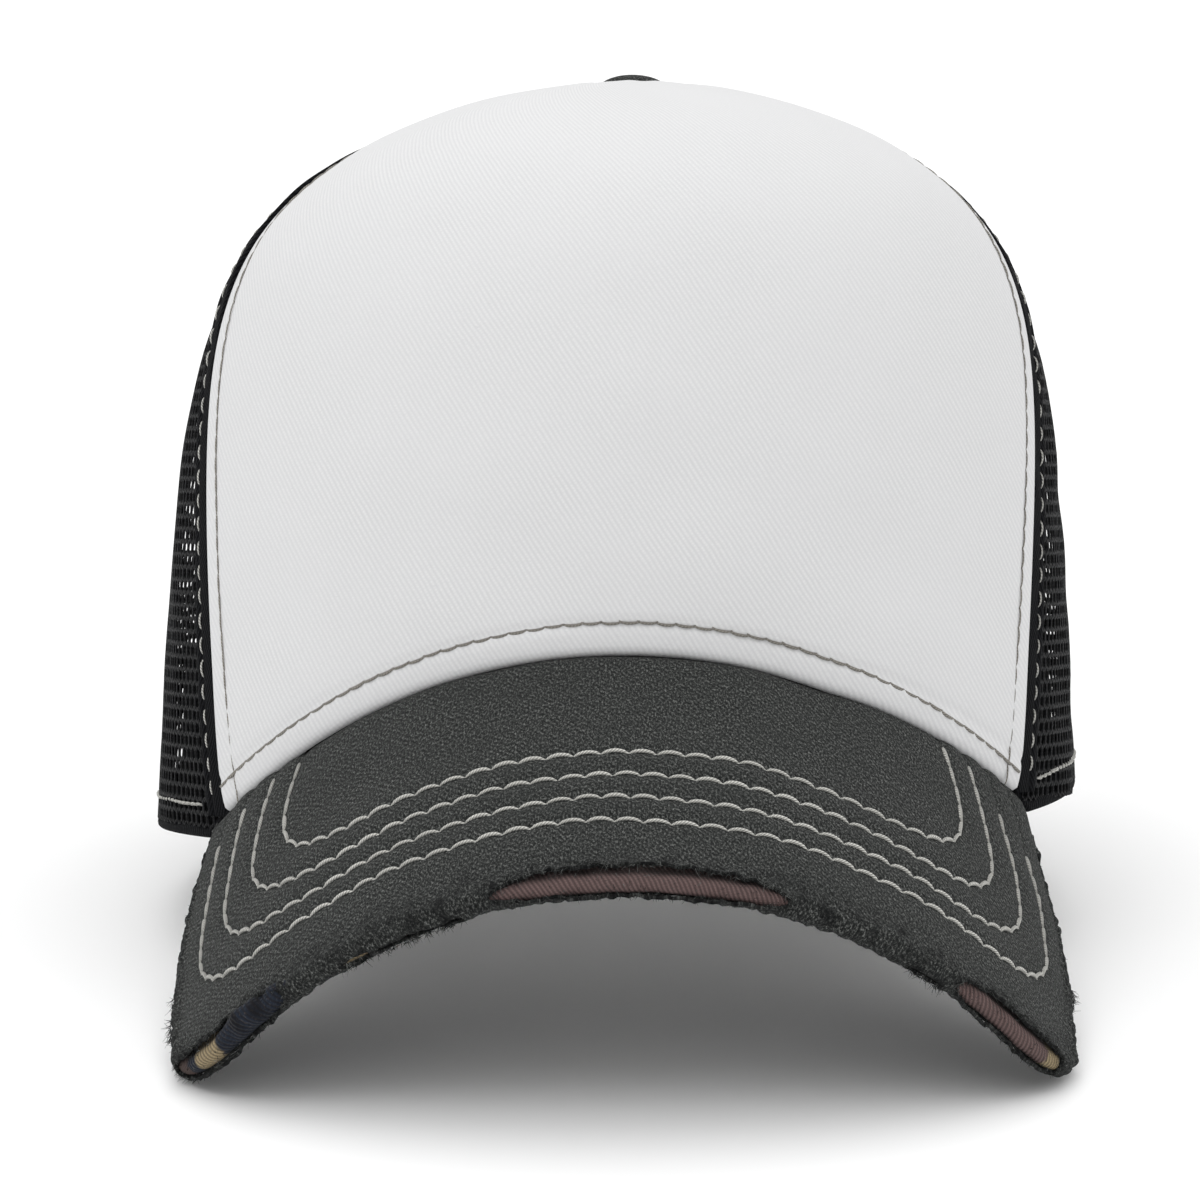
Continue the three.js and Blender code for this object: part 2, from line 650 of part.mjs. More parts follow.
const TAB_COLUMNS = 4;
for (const [name, side] of Object.entries({ hole_strap_tab: 1, peg_strap_tab: -1 })) {
  addPart(name, 'strap_plastic', sideSheet(
    side,
    () => Math.PI - Math.asin(TAB_OUTER_X / HALF_WIDTH),
    () => Math.PI - Math.asin(TAB_INNER_X / HALF_WIDTH),
    {
      bottom: () => STRAP_LOW / CROWN_HEIGHT,
      height: STRAP_HIGH - STRAP_LOW,
      depths: TAB_PLASTIC,
      columns: TAB_COLUMNS,
      rows: 1,
    },
  ));
}

// --- Standing place ----------------------------------------------------------------------------

// Moves the tipped cap so that its lowest point is at z = 0 and its box is centred on the origin
cap.updateMatrixWorld(true);
const box = new THREE.Box3().setFromObject(cap, true);
cap.position.set(-(box.min.x + box.max.x) / 2, -(box.min.y + box.max.y) / 2, -box.min.z);

const group = new THREE.Group();
group.add(cap);
export default group;
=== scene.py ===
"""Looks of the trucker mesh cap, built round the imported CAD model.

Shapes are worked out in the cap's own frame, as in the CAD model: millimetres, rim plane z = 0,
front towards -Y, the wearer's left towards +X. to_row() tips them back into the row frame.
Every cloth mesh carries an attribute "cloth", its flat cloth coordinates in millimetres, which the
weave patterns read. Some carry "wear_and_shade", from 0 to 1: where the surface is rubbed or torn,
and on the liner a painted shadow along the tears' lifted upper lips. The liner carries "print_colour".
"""
import json
import math

import bpy
import numpy as np
from mathutils import Matrix, Vector


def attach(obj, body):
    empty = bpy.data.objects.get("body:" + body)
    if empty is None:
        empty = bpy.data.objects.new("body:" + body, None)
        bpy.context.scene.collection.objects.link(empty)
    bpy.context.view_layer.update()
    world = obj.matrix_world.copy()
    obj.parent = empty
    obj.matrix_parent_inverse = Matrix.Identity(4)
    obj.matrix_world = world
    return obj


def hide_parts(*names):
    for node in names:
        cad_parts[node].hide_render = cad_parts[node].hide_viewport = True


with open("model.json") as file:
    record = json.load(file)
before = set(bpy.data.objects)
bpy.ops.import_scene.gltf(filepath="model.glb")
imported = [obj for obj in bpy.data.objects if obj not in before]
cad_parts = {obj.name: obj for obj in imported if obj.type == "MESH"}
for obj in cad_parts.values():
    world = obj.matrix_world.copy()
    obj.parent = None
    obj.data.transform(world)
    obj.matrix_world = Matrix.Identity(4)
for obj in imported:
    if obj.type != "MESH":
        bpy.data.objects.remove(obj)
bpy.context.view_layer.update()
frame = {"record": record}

MM = 0.001

# Crown, as in the CAD model
HALF_WIDTH = 90
FRONT_DEPTH = 97
BACK_DEPTH = 101
CROWN_HEIGHT = 144
CROWN_LEAN = 0.08
SHOULDER_POWER = 1.54
FRONT_POWER = 11
SIDE_POWER = 5.4
BACK_POWER = 3.2
TOP_SHIFT = 3.2
TOP_Y = 4
TOP_LEVEL = 0.9993
DIMPLE_DEPTH = 3.4
DIMPLE_SHARE = 0.12
RIM_BAND = 0.15
RIM_LIFT = 8.4
RIM_LIFT_ANGLES = np.radians([25, 90, 116, 148])
FRONT_SEAM_RIM = math.radians(54)
FRONT_SEAM_SWEEP = math.radians(19.5)
FRONT_SEAM_SWEEP_POWER = 0.75
FRONT_SEAM_TURN = math.radians(16)
FRONT_SEAM_TURN_POWER = 12
BACK_SEAM_RIM = math.radians(125)
BACK_SEAM_TOP = math.radians(135)
BACK_MIDDLE = math.pi
STRIP_WIDTH = 7
STRIP_WIDEST_ANGLE = math.radians(80)
TAPE_WIDTH = 13
BAND_LIFT = 1.2
BAND_HEIGHT = 33
BAND_END_GAP = 3.5

# Back opening and closure, as in the CAD model
ARCH_HALF_WIDTH = 38
ARCH_STRAIGHT = 22
ARCH_RISE = 24
BINDING_WIDTH = 8
STRAP_LOW = 3
STRAP_HIGH = 21
STRAP_THICKNESS = 1.2
STRAP_STEP = 0.85
STRAP_ROOT = 36.3
STRAP_TIP = -27
STRAP_TIP_RADIUS = 6
STRAP_BEND = 160
TAB_INNER_X = 39
TAB_OUTER_X = 54
TAB_DEPTH = 3.8
SNAP_COUNT = 7
SNAP_PITCH = 9
SNAP_FIRST = -22.5

# Visor, as in the CAD model
SEAM_TOP = 34.8
SEAM_RADIUS = 104
VISOR_SLOPE = math.radians(33)
VISOR_LENGTH = 68
VISOR_END = math.radians(58)
VISOR_FLAT_HALF = 94.5
VISOR_FRONT_SAG = 6
VISOR_CORNER = 19
VISOR_FLARE = 3.6
OVAL_WIDE = 105
OVAL_DEEP = 163
OVAL_FLATTEN = 0.33
VISOR_THICKNESS = 4.8

NUDGE = 1e-4

# --- Placing -----------------------------------------------------------------------------------

OPENING_BACK = 2  # the head opening's mount lies this far behind the cap frame's origin
opening = next(m for m in frame["record"]["mounts"] if m["name"] == "head_opening")
cap_up = -Vector(opening["axis"])
cap_turn = Matrix.Rotation(-math.atan2(cap_up.y, cap_up.z), 4, "X")
cap_origin = Vector(opening["pos_m"]) - cap_turn @ Vector((0, OPENING_BACK * MM, 0))
CAP_TO_ROW = Matrix.Translation(cap_origin) @ cap_turn


def to_row(points):
    """Points of the cap's frame, in millimetres, as points of the row frame, in metres."""
    matrix = np.array(CAP_TO_ROW)
    return points @ matrix[:3, :3].T * MM + matrix[:3, 3]


# --- Camera, floor and light -------------------------------------------------------------------

VIEW_TARGET = (-3.3, 0, 43)
VIEW_DISTANCE = 1250
VIEW_AZIMUTH = math.radians(-0.5)
VIEW_ABOVE_RIM = math.radians(1)
VIEW_ELEVATION = math.atan2(cap_up.y, cap_up.z) + VIEW_ABOVE_RIM
LENS = 192.36

scene = bpy.context.scene
target = Vector(to_row(np.array(VIEW_TARGET, float)))
back = Vector((
    math.sin(VIEW_AZIMUTH) * math.cos(VIEW_ELEVATION),
    -math.cos(VIEW_AZIMUTH) * math.cos(VIEW_ELEVATION),
    math.sin(VIEW_ELEVATION),
))
camera = bpy.data.objects.new("camera", bpy.data.cameras.new("camera"))
camera.data.lens = LENS
camera.data.clip_end = 50
camera.location = target + back * VIEW_DISTANCE * MM
camera.rotation_mode = "QUATERNION"
camera.rotation_quaternion = (-back).to_track_quat("-Z", "Y")
scene.collection.objects.link(camera)
scene.camera = camera
scene.view_settings.view_transform = "Standard"

FLOOR_HALF = 12  # metres
floor_mesh = bpy.data.meshes.new("floor")
corners = [(-FLOOR_HALF, -FLOOR_HALF, 0), (FLOOR_HALF, -FLOOR_HALF, 0),
           (FLOOR_HALF, FLOOR_HALF, 0), (-FLOOR_HALF, FLOOR_HALF, 0)]
floor_mesh.from_pydata(corners, [], [(0, 1, 2, 3)])
floor = bpy.data.objects.new("floor", floor_mesh)
scene.collection.objects.link(floor)

SKY_LOW = 0.54  # the studio's light from the horizon and from overhead
SKY_HIGH = 1.5
scene.world = bpy.data.worlds.new("studio")
scene.world.use_nodes = True
background = scene.world.node_tree.nodes["Background"]
background.inputs["Color"].default_value = (1, 1, 1, 1)
sky = scene.world.node_tree
direction = sky.nodes.new("ShaderNodeTexCoord")
height = sky.nodes.new("ShaderNodeSeparateXYZ")
strength = sky.nodes.new("ShaderNodeMapRange")
sky.links.new(direction.outputs["Generated"], height.inputs[0])
sky.links.new(height.outputs["Z"], strength.inputs["Value"])
strength.inputs["To Min"].default_value = SKY_LOW
strength.inputs["To Max"].default_value = SKY_HIGH
sky.links.new(strength.outputs[0], background.inputs["Strength"])
seen = sky.nodes.new("ShaderNodeBackground")
either = sky.nodes.new("ShaderNodeMixShader")
ray = sky.nodes.new("ShaderNodeLightPath")
sky.links.new(ray.outputs["Is Camera Ray"], either.inputs[0])
sky.links.new(background.outputs[0], either.inputs[1])
sky.links.new(seen.outputs[0], either.inputs[2])
sky.links.new(either.outputs[0], sky.nodes["World Output"].inputs["Surface"])
seen.inputs["Color"].default_value = (1, 1, 1, 1)
seen.inputs["Strength"].default_value = 1.0


def add_softbox(name, place, size, power):
    """An area light that faces the cap."""
    light = bpy.data.lights.new(name, "AREA")
    light.shape = "DISK"
    light.size = size
    light.energy = power
    lamp = bpy.data.objects.new(name, light)
    lamp.location = place
    lamp.rotation_mode = "QUATERNION"
    lamp.rotation_quaternion = (target - Vector(place)).to_track_quat("-Z", "Y")
    scene.collection.objects.link(lamp)


add_softbox("key_light", (-0.8, -1.2, 1.8), 1.1, 4.5)
add_softbox("top_light", (0.0, 0.3, 1.8), 1.6, 1.6)

# --- Materials ---------------------------------------------------------------------------------


class Shader:
    """Builds one node material. Its methods add a node and return its output socket."""

    SOCKETS = {"sheen": "Sheen Weight", "sheen_roughness": "Sheen Roughness",
               "shine": "Specular IOR Level", "metallic": "Metallic"}

    def __init__(self, name):
        self.material = bpy.data.materials.new(name)
        self.material.use_nodes = True
        self.tree = self.material.node_tree
        self.surface = self.tree.nodes["Principled BSDF"]

    def node(self, kind, inputs=(), output=0, **settings):
        made = self.tree.nodes.new(kind)
        for key, value in settings.items():
            setattr(made, key, value)
        for key, value in dict(inputs).items():
            self.feed(made.inputs[key], value)
        return made.outputs[output]

    def feed(self, socket, value):
        if isinstance(value, bpy.types.NodeSocket):
            self.tree.links.new(value, socket)
        else:
            socket.default_value = value

    def math(self, operation, a, b=0.0, clamp=False):
        return self.node("ShaderNodeMath", {0: a, 1: b}, operation=operation, use_clamp=clamp)

    def add(self, a, b):
        return self.math("ADD", a, b)

    def times(self, a, b):
        return self.math("MULTIPLY", a, b)

    def spread(self, value, low, high, to_low=0.0, to_high=1.0):
        """value, moved from the span low..high to the span to_low..to_high and held there."""
        inputs = {"Value": value, "From Min": low, "From Max": high,
                  "To Min": to_low, "To Max": to_high}
        return self.node("ShaderNodeMapRange", inputs)

    def blend(self, share, a, b, kind="MIX"):
        inputs = {"Factor": share, 6: a, 7: b}
        return self.node("ShaderNodeMix", inputs, output=2, data_type="RGBA", blend_type=kind)

    def attribute(self, name, output="Vector"):
        return self.node("ShaderNodeAttribute", output=output, attribute_name=name)

    def noise(self, vector, scale, detail=2.0, roughness=0.5):
        inputs = {"Vector": vector, "Scale": scale, "Detail": detail, "Roughness": roughness}
        return self.node("ShaderNodeTexNoise", inputs)

    def stretched(self, vector, scale):
        """vector with each of its components multiplied."""
        return self.node("ShaderNodeVectorMath", {0: vector, 1: scale}, operation="MULTIPLY")

    def stripes(self, position, pitch, jitter=0.0):
        """Rounded ridges, from 0 to 1, once each pitch."""
        turns = self.add(self.math("DIVIDE", position, pitch), jitter)
        wave = self.math("COSINE", self.times(turns, 2 * math.pi))
        return self.spread(wave, -1.0, 1.0)

    def cloth_axes(self):
        cloth = self.attribute("cloth")
        split = self.tree.nodes.new("ShaderNodeSeparateXYZ")
        self.tree.links.new(cloth, split.inputs[0])
        return cloth, split.outputs[0], split.outputs[1]

    def bump(self, height, distance, strength=1.0, under=None):
        inputs = {"Height": height, "Distance": distance, "Strength": strength}
        if under is not None:
            inputs["Normal"] = under
        return self.node("ShaderNodeBump", inputs)

    def finish(self, colour, roughness, normal=None, **sockets):
        self.feed(self.surface.inputs["Base Color"], colour)
        self.feed(self.surface.inputs["Roughness"], roughness)
        if normal is not None:
            self.feed(self.surface.inputs["Normal"], normal)
        for key, value in sockets.items():
            self.surface.inputs[self.SOCKETS[key]].default_value = value
        return self.material


def colour(red, green, blue):
    """A colour given as it looks on a screen, from 0 to 255, as the shader's linear colour."""
    return tuple((part / 255) ** 2.2 for part in (red, green, blue)) + (1.0,)


def twill_height(shader, pitch, yarn, lean, drift=0.6):
    """Diagonal ribs of twisted yarn: pitch between ribs, yarn between the steps along a rib,
    lean the ribs' angle from the cloth's length, and drift how far they stray, in pitches."""
    cloth, across, along = shader.cloth_axes()
    wander = shader.spread(shader.noise(cloth, 0.09, 3.0), 0.3, 0.7, -drift, drift)
    ribs = shader.add(shader.times(across, math.cos(lean)), shader.times(along, math.sin(lean)))
    steps = shader.add(shader.times(along, math.cos(lean)), shader.times(across, -math.sin(lean)))
    rib = shader.stripes(ribs, pitch, wander)
    step = shader.stripes(steps, yarn, shader.times(wander, 2.0))
    height = shader.times(rib, shader.spread(step, 0.0, 1.0, 0.62, 1.0))
    return cloth, height


def white_twill():
    s = Shader("white_twill")
    cloth, height = twill_height(s, 0.92, 0.55, math.radians(33), 0.2)
    grain = s.noise(cloth, 1.6, 4.0, 0.7)
    cloudy = s.noise(cloth, 0.035, 2.0)
    base = s.blend(s.spread(height, 0.0, 0.9), colour(206, 206, 207), colour(219, 219, 219))
    base = s.blend(s.spread(grain, 0.35, 0.7, 0.0, 0.4), base, colour(197, 198, 199))
    base = s.blend(s.spread(cloudy, 0.35, 0.65, 0.0, 0.3), base, colour(213, 213, 214))
    slubs = s.noise(s.stretched(cloth, (0.5, 2.2, 1.0)), 0.9, 2.0, 0.5)
    base = s.blend(s.spread(slubs, 0.68, 0.8, 0.0, 0.3), base, colour(190, 190, 192))
    normal = s.bump(s.add(height, s.times(grain, 0.9)), 0.00005, 0.6)
    rough = s.spread(height, 0.0, 1.0, 0.95, 0.82)
    return s.finish(base, rough, normal, sheen=0.05, sheen_roughness=0.5, shine=0.2)


def charcoal_twill(name="charcoal_twill", shade=1.0):
    s = Shader(name)
    cloth, height = twill_height(s, 0.95, 0.7, math.radians(-40))
    fleck = s.noise(cloth, 1.7, 5.0, 0.85)
    hairs = s.noise(s.stretched(cloth, (1.6, 0.8, 1.0)), 1.7, 4.0, 0.85)
    cloudy = s.noise(cloth, 0.08, 3.0, 0.6)
    wear_and_shade = s.attribute("wear_and_shade", "Fac")
    dark = colour(*(part * shade for part in (10, 11, 11)))
    mid = colour(*(part * shade for part in (44, 46, 45)))
    light = colour(*(part * shade for part in (134, 136, 133)))
    base = s.blend(s.spread(fleck, 0.38, 0.58), dark, mid)
    base = s.blend(s.spread(hairs, 0.5, 0.66, 0.0, 1.0), base, light)
    base = s.blend(s.spread(height, 0.1, 0.7, 0.35, 0.0), base, dark)
    base = s.blend(s.spread(cloudy, 0.4, 0.7, 0.0, 0.3), base, mid)
    pressed = s.noise(s.stretched(cloth, (1.0, 0.35, 1.0)), 0.5, 3.0, 0.7)
    base = s.blend(s.times(wear_and_shade, s.spread(pressed, 0.35, 0.6)), base, colour(17, 18, 19))
    normal = s.bump(s.add(height, s.times(s.add(fleck, hairs), 0.9)), 0.0002, 0.8)
    return s.finish(base, 0.95, normal, sheen=0.03, sheen_roughness=0.6, shine=0.12)


def plain_cloth(name, ribs, light, dark, lean=0.0):
    """Plain tape, twill or buckram with ribs of the given pitch."""
    s = Shader(name)
    cloth, height = twill_height(s, ribs, ribs * 0.8, lean)
    lint = s.noise(cloth, 1.8, 4.0, 0.7)
    base = s.blend(s.spread(height, 0.0, 1.0), colour(*dark), colour(*light))
    base = s.blend(s.spread(lint, 0.62, 0.8, 0.0, 0.35), base, colour(56, 58, 62))
    wear_and_shade = s.attribute("wear_and_shade", "Fac")
    base = s.blend(s.times(wear_and_shade, 0.4), base, colour(46, 48, 52))
    normal = s.bump(s.add(height, s.times(lint, 0.5)), 0.00012, 0.9)
    rough = s.spread(height, 0.0, 1.0, 0.95, 0.75)
    return s.finish(base, rough, normal, shine=0.08)


def black_mesh():
    s = Shader("black_mesh")
    cloth, across, along = s.cloth_axes()
    wander = s.spread(s.noise(cloth, 0.2, 2.0), 0.3, 0.7, -0.3, 0.3)
    ribs = s.stripes(across, 0.85, wander)
    loops = s.stripes(along, 0.7, wander)
    height = s.add(s.times(ribs, 0.7), s.times(loops, 0.3))
    base = s.blend(s.spread(height, 0.1, 0.9), colour(5, 6, 7), colour(19, 20, 23))
    normal = s.bump(height, 0.00014, 0.9)
    rough = s.spread(height, 0.0, 1.0, 0.75, 0.5)
    return s.finish(base, rough, normal, shine=0.12)


def camo_twill():
    """Printed liner: the colour of each patch is painted on the mesh, and the twill is over it."""
    s = Shader("camo_twill")
    cloth, height = twill_height(s, 0.8, 0.6, math.radians(-22), 0.25)
    print_colour = s.attribute("print_colour", "Color")
    grain = s.noise(cloth, 2.4, 3.0, 0.7)
    wear_and_shade = s.attribute("wear_and_shade", "Fac")
    dull = s.blend(0.55, print_colour, colour(30, 26, 27))
    base = s.blend(s.spread(height, 0.05, 0.75), dull, print_colour)
    base = s.blend(s.spread(grain, 0.55, 0.8, 0.0, 0.35), base, colour(128, 116, 108))
    # Painted shadow: on the liner this mask darkens a band along each tear's lifted upper lip, and random
    # patches on the torn lump.
    base = s.blend(s.times(wear_and_shade, 0.8), base, colour(24, 22, 22))
    normal = s.bump(height, 0.00025, 1.0)
    return s.finish(base, 0.9, normal, sheen=0.03, shine=0.15)


def thread(name, light, dark):
    """Two-ply sewing thread. cloth.x runs along each stitch and cloth.y round it."""
    s = Shader(name)
    cloth, along, around = s.cloth_axes()
    ply = s.stripes(s.add(along, s.times(around, 0.9)), 0.62)
    fuzz = s.noise(cloth, 3.0, 3.0, 0.7)
    tone = s.noise(s.attribute("place"), 0.05, 1.0)
    base = s.blend(s.spread(ply, 0.0, 0.8), colour(*dark), colour(*light))
    base = s.blend(s.spread(fuzz, 0.4, 0.75, 0.0, 0.4), base, colour(*dark))
    base = s.blend(s.spread(tone, 0.4, 0.6, 0.0, 0.25), base, colour(*dark))
    normal = s.bump(s.add(ply, s.times(fuzz, 0.4)), 0.0001, 0.9)
    return s.finish(base, 0.75, normal, sheen=0.05, shine=0.2)


def moulded_plastic(name, tone, roughness):
    """Hard plastic with a fine moulded grain and a few rubbed places."""
    s = Shader(name)
    place = s.node("ShaderNodeTexCoord", output="Object")
    grain = s.noise(place, 2600.0, 3.0, 0.6)
    rubs = s.noise(place, 90.0, 5.0, 0.7)
    base = s.blend(s.spread(rubs, 0.55, 0.75, 0.0, 0.25), colour(*tone),
                   colour(*(min(255, part + 30) for part in tone)))
    rough = s.spread(rubs, 0.35, 0.7, roughness, roughness + 0.18)
    return s.finish(base, rough, s.bump(grain, 0.00003, 0.6))


def metal():
    s = Shader("button_metal")
    place = s.node("ShaderNodeTexCoord", output="Object")
    brushed = s.noise(s.stretched(place, (1.0, 1.0, 12.0)), 600.0, 3.0, 0.6)
    base = s.blend(s.spread(brushed, 0.35, 0.7), colour(140, 141, 144), colour(188, 189, 192))
    rough = s.spread(brushed, 0.3, 0.7, 0.32, 0.5)
    s.surface.inputs["Metallic"].default_value = 1.0
    return s.finish(base, rough, s.bump(brushed, 0.00002, 0.5))


def floor_material():
    s = Shader("floor")
    place = s.node("ShaderNodeTexCoord", output="Object")
    base = s.blend(s.noise(place, 3.0, 2.0), colour(250, 250, 250), colour(252, 252, 252))
    return s.finish(base, 0.9)


MATERIALS = {
    "white_twill": white_twill(),
    "charcoal_twill": charcoal_twill(),
    "black_twill": plain_cloth("black_twill", 0.8, (25, 26, 29), (8, 8, 10), math.radians(35)),
    "black_cotton": plain_cloth("black_cotton", 0.9, (24, 25, 28), (10, 11, 12)),
    "white_buckram": plain_cloth("white_buckram", 1.3, (226, 225, 220), (196, 195, 190)),
    "black_mesh": black_mesh(),
    "camo_twill": camo_twill(),
    "thread": thread("thread", (222, 221, 215), (142, 141, 136)),
    "grey_thread": thread("grey_thread", (164, 160, 152), (112, 109, 103)),
    "visor_plastic": moulded_plastic("visor_plastic", (201, 201, 196), 0.45),
    "strap_plastic": moulded_plastic("strap_plastic", (25, 26, 28), 0.32),
    "button_metal": metal(),
}
floor_mesh.materials.append(floor_material())

# --- Meshes ------------------------------------------------------------------------------------


def add_piece(name, points, faces, slot, body="root", material=None, cloth=None, extra=None,
              validate=True):
    """One object of the cap from points in the cap's frame. extra holds more attributes."""
    mesh = bpy.data.meshes.new(name)
    faces = faces if isinstance(faces, list) else faces.tolist()
    mesh.from_pydata(to_row(np.asarray(points, float)).tolist(), [], faces)
    mesh.polygons.foreach_set("use_smooth", np.ones(len(mesh.polygons), bool))
    if cloth is not None:
        flat = np.zeros((len(points), 3))
        flat[:, :cloth.shape[-1]] = cloth
        mesh.attributes.new("cloth", "FLOAT_VECTOR", "POINT").data.foreach_set("vector", flat.ravel())
    for key, values in (extra or {}).items():
        if values.ndim == 1:
            mesh.attributes.new(key, "FLOAT", "POINT").data.foreach_set("value", values)
        elif values.shape[1] == 4:
            made = mesh.attributes.new(key, "FLOAT_COLOR", "POINT")
            made.data.foreach_set("color", values.ravel())
        else:
            made = mesh.attributes.new(key, "FLOAT_VECTOR", "POINT")
            made.data.foreach_set("vector", np.ascontiguousarray(values).ravel())
    if validate:
        mesh.validate()
    piece = bpy.data.objects.new(name, mesh)
    scene.collection.objects.link(piece)
    mesh.materials.append(MATERIALS[material or slot])
    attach(piece, body)
    return piece


def grid_faces(rows, columns, keep=None, wrap=False):
    """Quads of a grid of points. keep marks the quads to make; wrap joins last column to first."""
    row, column = np.mgrid[0:rows - 1, 0:columns - (0 if wrap else 1)]
    after = (column + 1) % columns
    quads = np.stack([row * columns + column, row * columns + after,
                      (row + 1) * columns + after, (row + 1) * columns + column], -1)
    return quads[keep] if keep is not None else quads.reshape(-1, 4)


def thicken(piece, thickness):
    """Gives a sheet its thickness, towards the back of its faces."""
    solid = piece.modifiers.new("thickness", "SOLIDIFY")
    solid.thickness = thickness * MM
    solid.offset = -1
    solid.use_even_offset = False
    return piece


def add_sheet(name, points, thickness, slot, cloth, keep=None, **options):
    """A sheet of cloth from a grid of points, rows x columns x 3, facing out."""
    rows, columns = points.shape[:2]
    faces = grid_faces(rows, columns, keep)
    extra = {key: values.reshape(rows * columns, -1) if values.ndim > 2 else values.ravel()
             for key, values in options.pop("extra", {}).items()}
    piece = add_piece(name, points.reshape(-1, 3), faces, slot,
                      cloth=cloth.reshape(-1, cloth.shape[-1]), extra=extra, **options)
    return thicken(piece, thickness)


def unit(vectors):
    return vectors / np.maximum(np.linalg.norm(vectors, axis=-1, keepdims=True), 1e-12)


def smooth_step(value, low, high):
    share = np.clip((value - low) / (high - low), 0, 1)
    return share * share * (3 - 2 * share)


def rough_line(places, pitch, seed):
    """Smooth random heights, from -1 to 1, with about one bump each pitch."""
    knots = np.arange(places.min() - 2 * pitch, places.max() + 2 * pitch, pitch)
    values = np.random.default_rng(seed).uniform(-1, 1, len(knots))
    return np.interp(places, knots, values)


def rough_field(u, v, pitch, seed):
    """Smooth random heights over a plane, from about -1 to 1, with bumps about pitch wide."""
    rng = np.random.default_rng(seed)
    total = np.zeros(np.broadcast(u, v).shape)
    waves = 14
    for _ in range(waves):
        turn, phase = rng.uniform(0, 2 * math.pi, 2)
        stretch = rng.uniform(0.6, 1.5) * 2 * math.pi / (2 * pitch)
        total += np.sin((u * math.cos(turn) + v * math.sin(turn)) * stretch + phase)
    return total / math.sqrt(waves)


def path_length(points):
    steps = np.linalg.norm(np.diff(points, axis=0), axis=-1)
    return np.concatenate([[0], np.cumsum(steps)])


def cut_area(points):
    """Area of the cloth in a grid of points, in square metres."""
    right = np.diff(points, axis=1)[:-1]
    up = np.diff(points, axis=0)[:, :-1]
    return float(np.linalg.norm(np.cross(right, up), axis=-1).sum() * MM * MM)


# --- Crown surface -----------------------------------------------------------------------------


def crown_surface(angle, level):
    """The crown's outer surface. An angle runs from the middle of the front towards the wearer's
    left, and a level is a share of the crown's height."""
    angle, level = np.broadcast_arrays(np.asarray(angle, float), np.asarray(level, float))
    facing = np.cos(angle)
    slant = (FRONT_POWER - BACK_POWER) / 2
    bulge = (FRONT_POWER + BACK_POWER) / 2 - SIDE_POWER
    climbed = np.maximum(level, 0) ** (SIDE_POWER + slant * facing + bulge * facing**2)
    share = (1 - CROWN_LEAN * level) * np.maximum(1 - climbed, 0) ** (1 / SHOULDER_POWER)
    depth = np.where(facing > 0, FRONT_DEPTH, BACK_DEPTH)
    dimple = DIMPLE_DEPTH * np.exp(-((share / DIMPLE_SHARE) ** 4))
    x = HALF_WIDTH * np.sin(angle) * share + TOP_SHIFT * level**3
    y = TOP_Y + (-depth * facing - TOP_Y) * share
    return np.stack([x, y, CROWN_HEIGHT * level - dimple], -1)


def crown_outward(angle, level):
    around = crown_surface(angle + NUDGE, level) - crown_surface(angle - NUDGE, level)
    upward = crown_surface(angle, level + NUDGE / 10) - crown_surface(angle, level - NUDGE / 10)
    outward = unit(np.cross(around, upward))
    outward[..., 2] *= np.clip(np.asarray(level) / RIM_BAND, 0, 1)
    return outward


def crown_point(angle, level, depth=0.0):
    return crown_surface(angle, level) - crown_outward(angle, level) * np.asarray(depth, float)[..., None]


def shift_angle(angle, level, distance, widest=math.pi):
    """Moves an angle round the crown by a distance in millimetres."""
    step = crown_surface(angle + NUDGE, level) - crown_surface(angle, level)
    per_radian = np.maximum(np.linalg.norm(step, axis=-1) / NUDGE, 1e-6)
    return angle + np.clip(distance / per_radian, -widest, widest)


def seam_height(x):
    """Height of the visor seam above the rim plane, which is an arc seen from the front."""
    return SEAM_TOP - (SEAM_RADIUS - np.sqrt(SEAM_RADIUS**2 - x**2))


def rim_lift(angle):
    """The rim stands a little higher over the wearer's left ear."""
    return np.interp(angle, RIM_LIFT_ANGLES, [0, RIM_LIFT, RIM_LIFT, 0])


def edge_level(angle):
    """Level of the crown's lower edge: the visor seam in front, and the rim elsewhere."""
    angle = np.asarray(angle, float)
    level = np.zeros_like(angle)
    solving_rounds = 12
    for _ in range(solving_rounds):
        x = np.clip(crown_surface(angle, level)[..., 0], -HALF_WIDTH, HALF_WIDTH)
        seam = np.where(np.cos(angle) > 0, np.maximum(0, seam_height(x)), 0)
        level = (seam + rim_lift(angle)) / CROWN_HEIGHT
    return level


def front_seam(level):
    return (FRONT_SEAM_RIM + FRONT_SEAM_SWEEP * level**FRONT_SEAM_SWEEP_POWER
            + FRONT_SEAM_TURN * level**FRONT_SEAM_TURN_POWER)


def back_seam(level):
    return BACK_SEAM_RIM + (BACK_SEAM_TOP - BACK_SEAM_RIM) * level


# Levels and the distance up the side wall at each of them
LADDER_LEVELS = TOP_LEVEL * (1 - (1 - np.linspace(0, 1, 1500)) ** 3)
LADDER_LENGTHS = path_length(crown_surface(math.pi / 2, LADDER_LEVELS))


def level_at(length):
    return np.interp(length, LADDER_LENGTHS, LADDER_LEVELS)


def length_at(level):
    return np.interp(level, LADDER_LEVELS, LADDER_LENGTHS)


def climb(low, steps):
    """Levels from the level low, at each column, up to the top in even steps of distance."""
    start = length_at(low)
    share = np.linspace(0, 1, steps)[:, None]
    return level_at(start + (LADDER_LENGTHS[-1] - start) * share)


def crown_strip(middle, side, low, top, near, far, columns, steps):
    """Angles and levels of a strip that follows the seam middle(level), from near to far mm on
    its outer side, with its cloth coordinates."""
    level = level_at(np.linspace(length_at(low), length_at(top), steps))[:, None]
    offset = np.linspace(near, far, columns)[None, :]
    angle = side * shift_angle(middle(level), level, offset, STRIP_WIDEST_ANGLE)
    cloth = np.stack(np.broadcast_arrays(offset, length_at(level)), -1)
    return angle, level + 0 * offset, cloth


# --- Stitches ----------------------------------------------------------------------------------

THREAD_RADIUS = 0.3
STITCH_RINGS = 7
STITCH_SIDES = 6


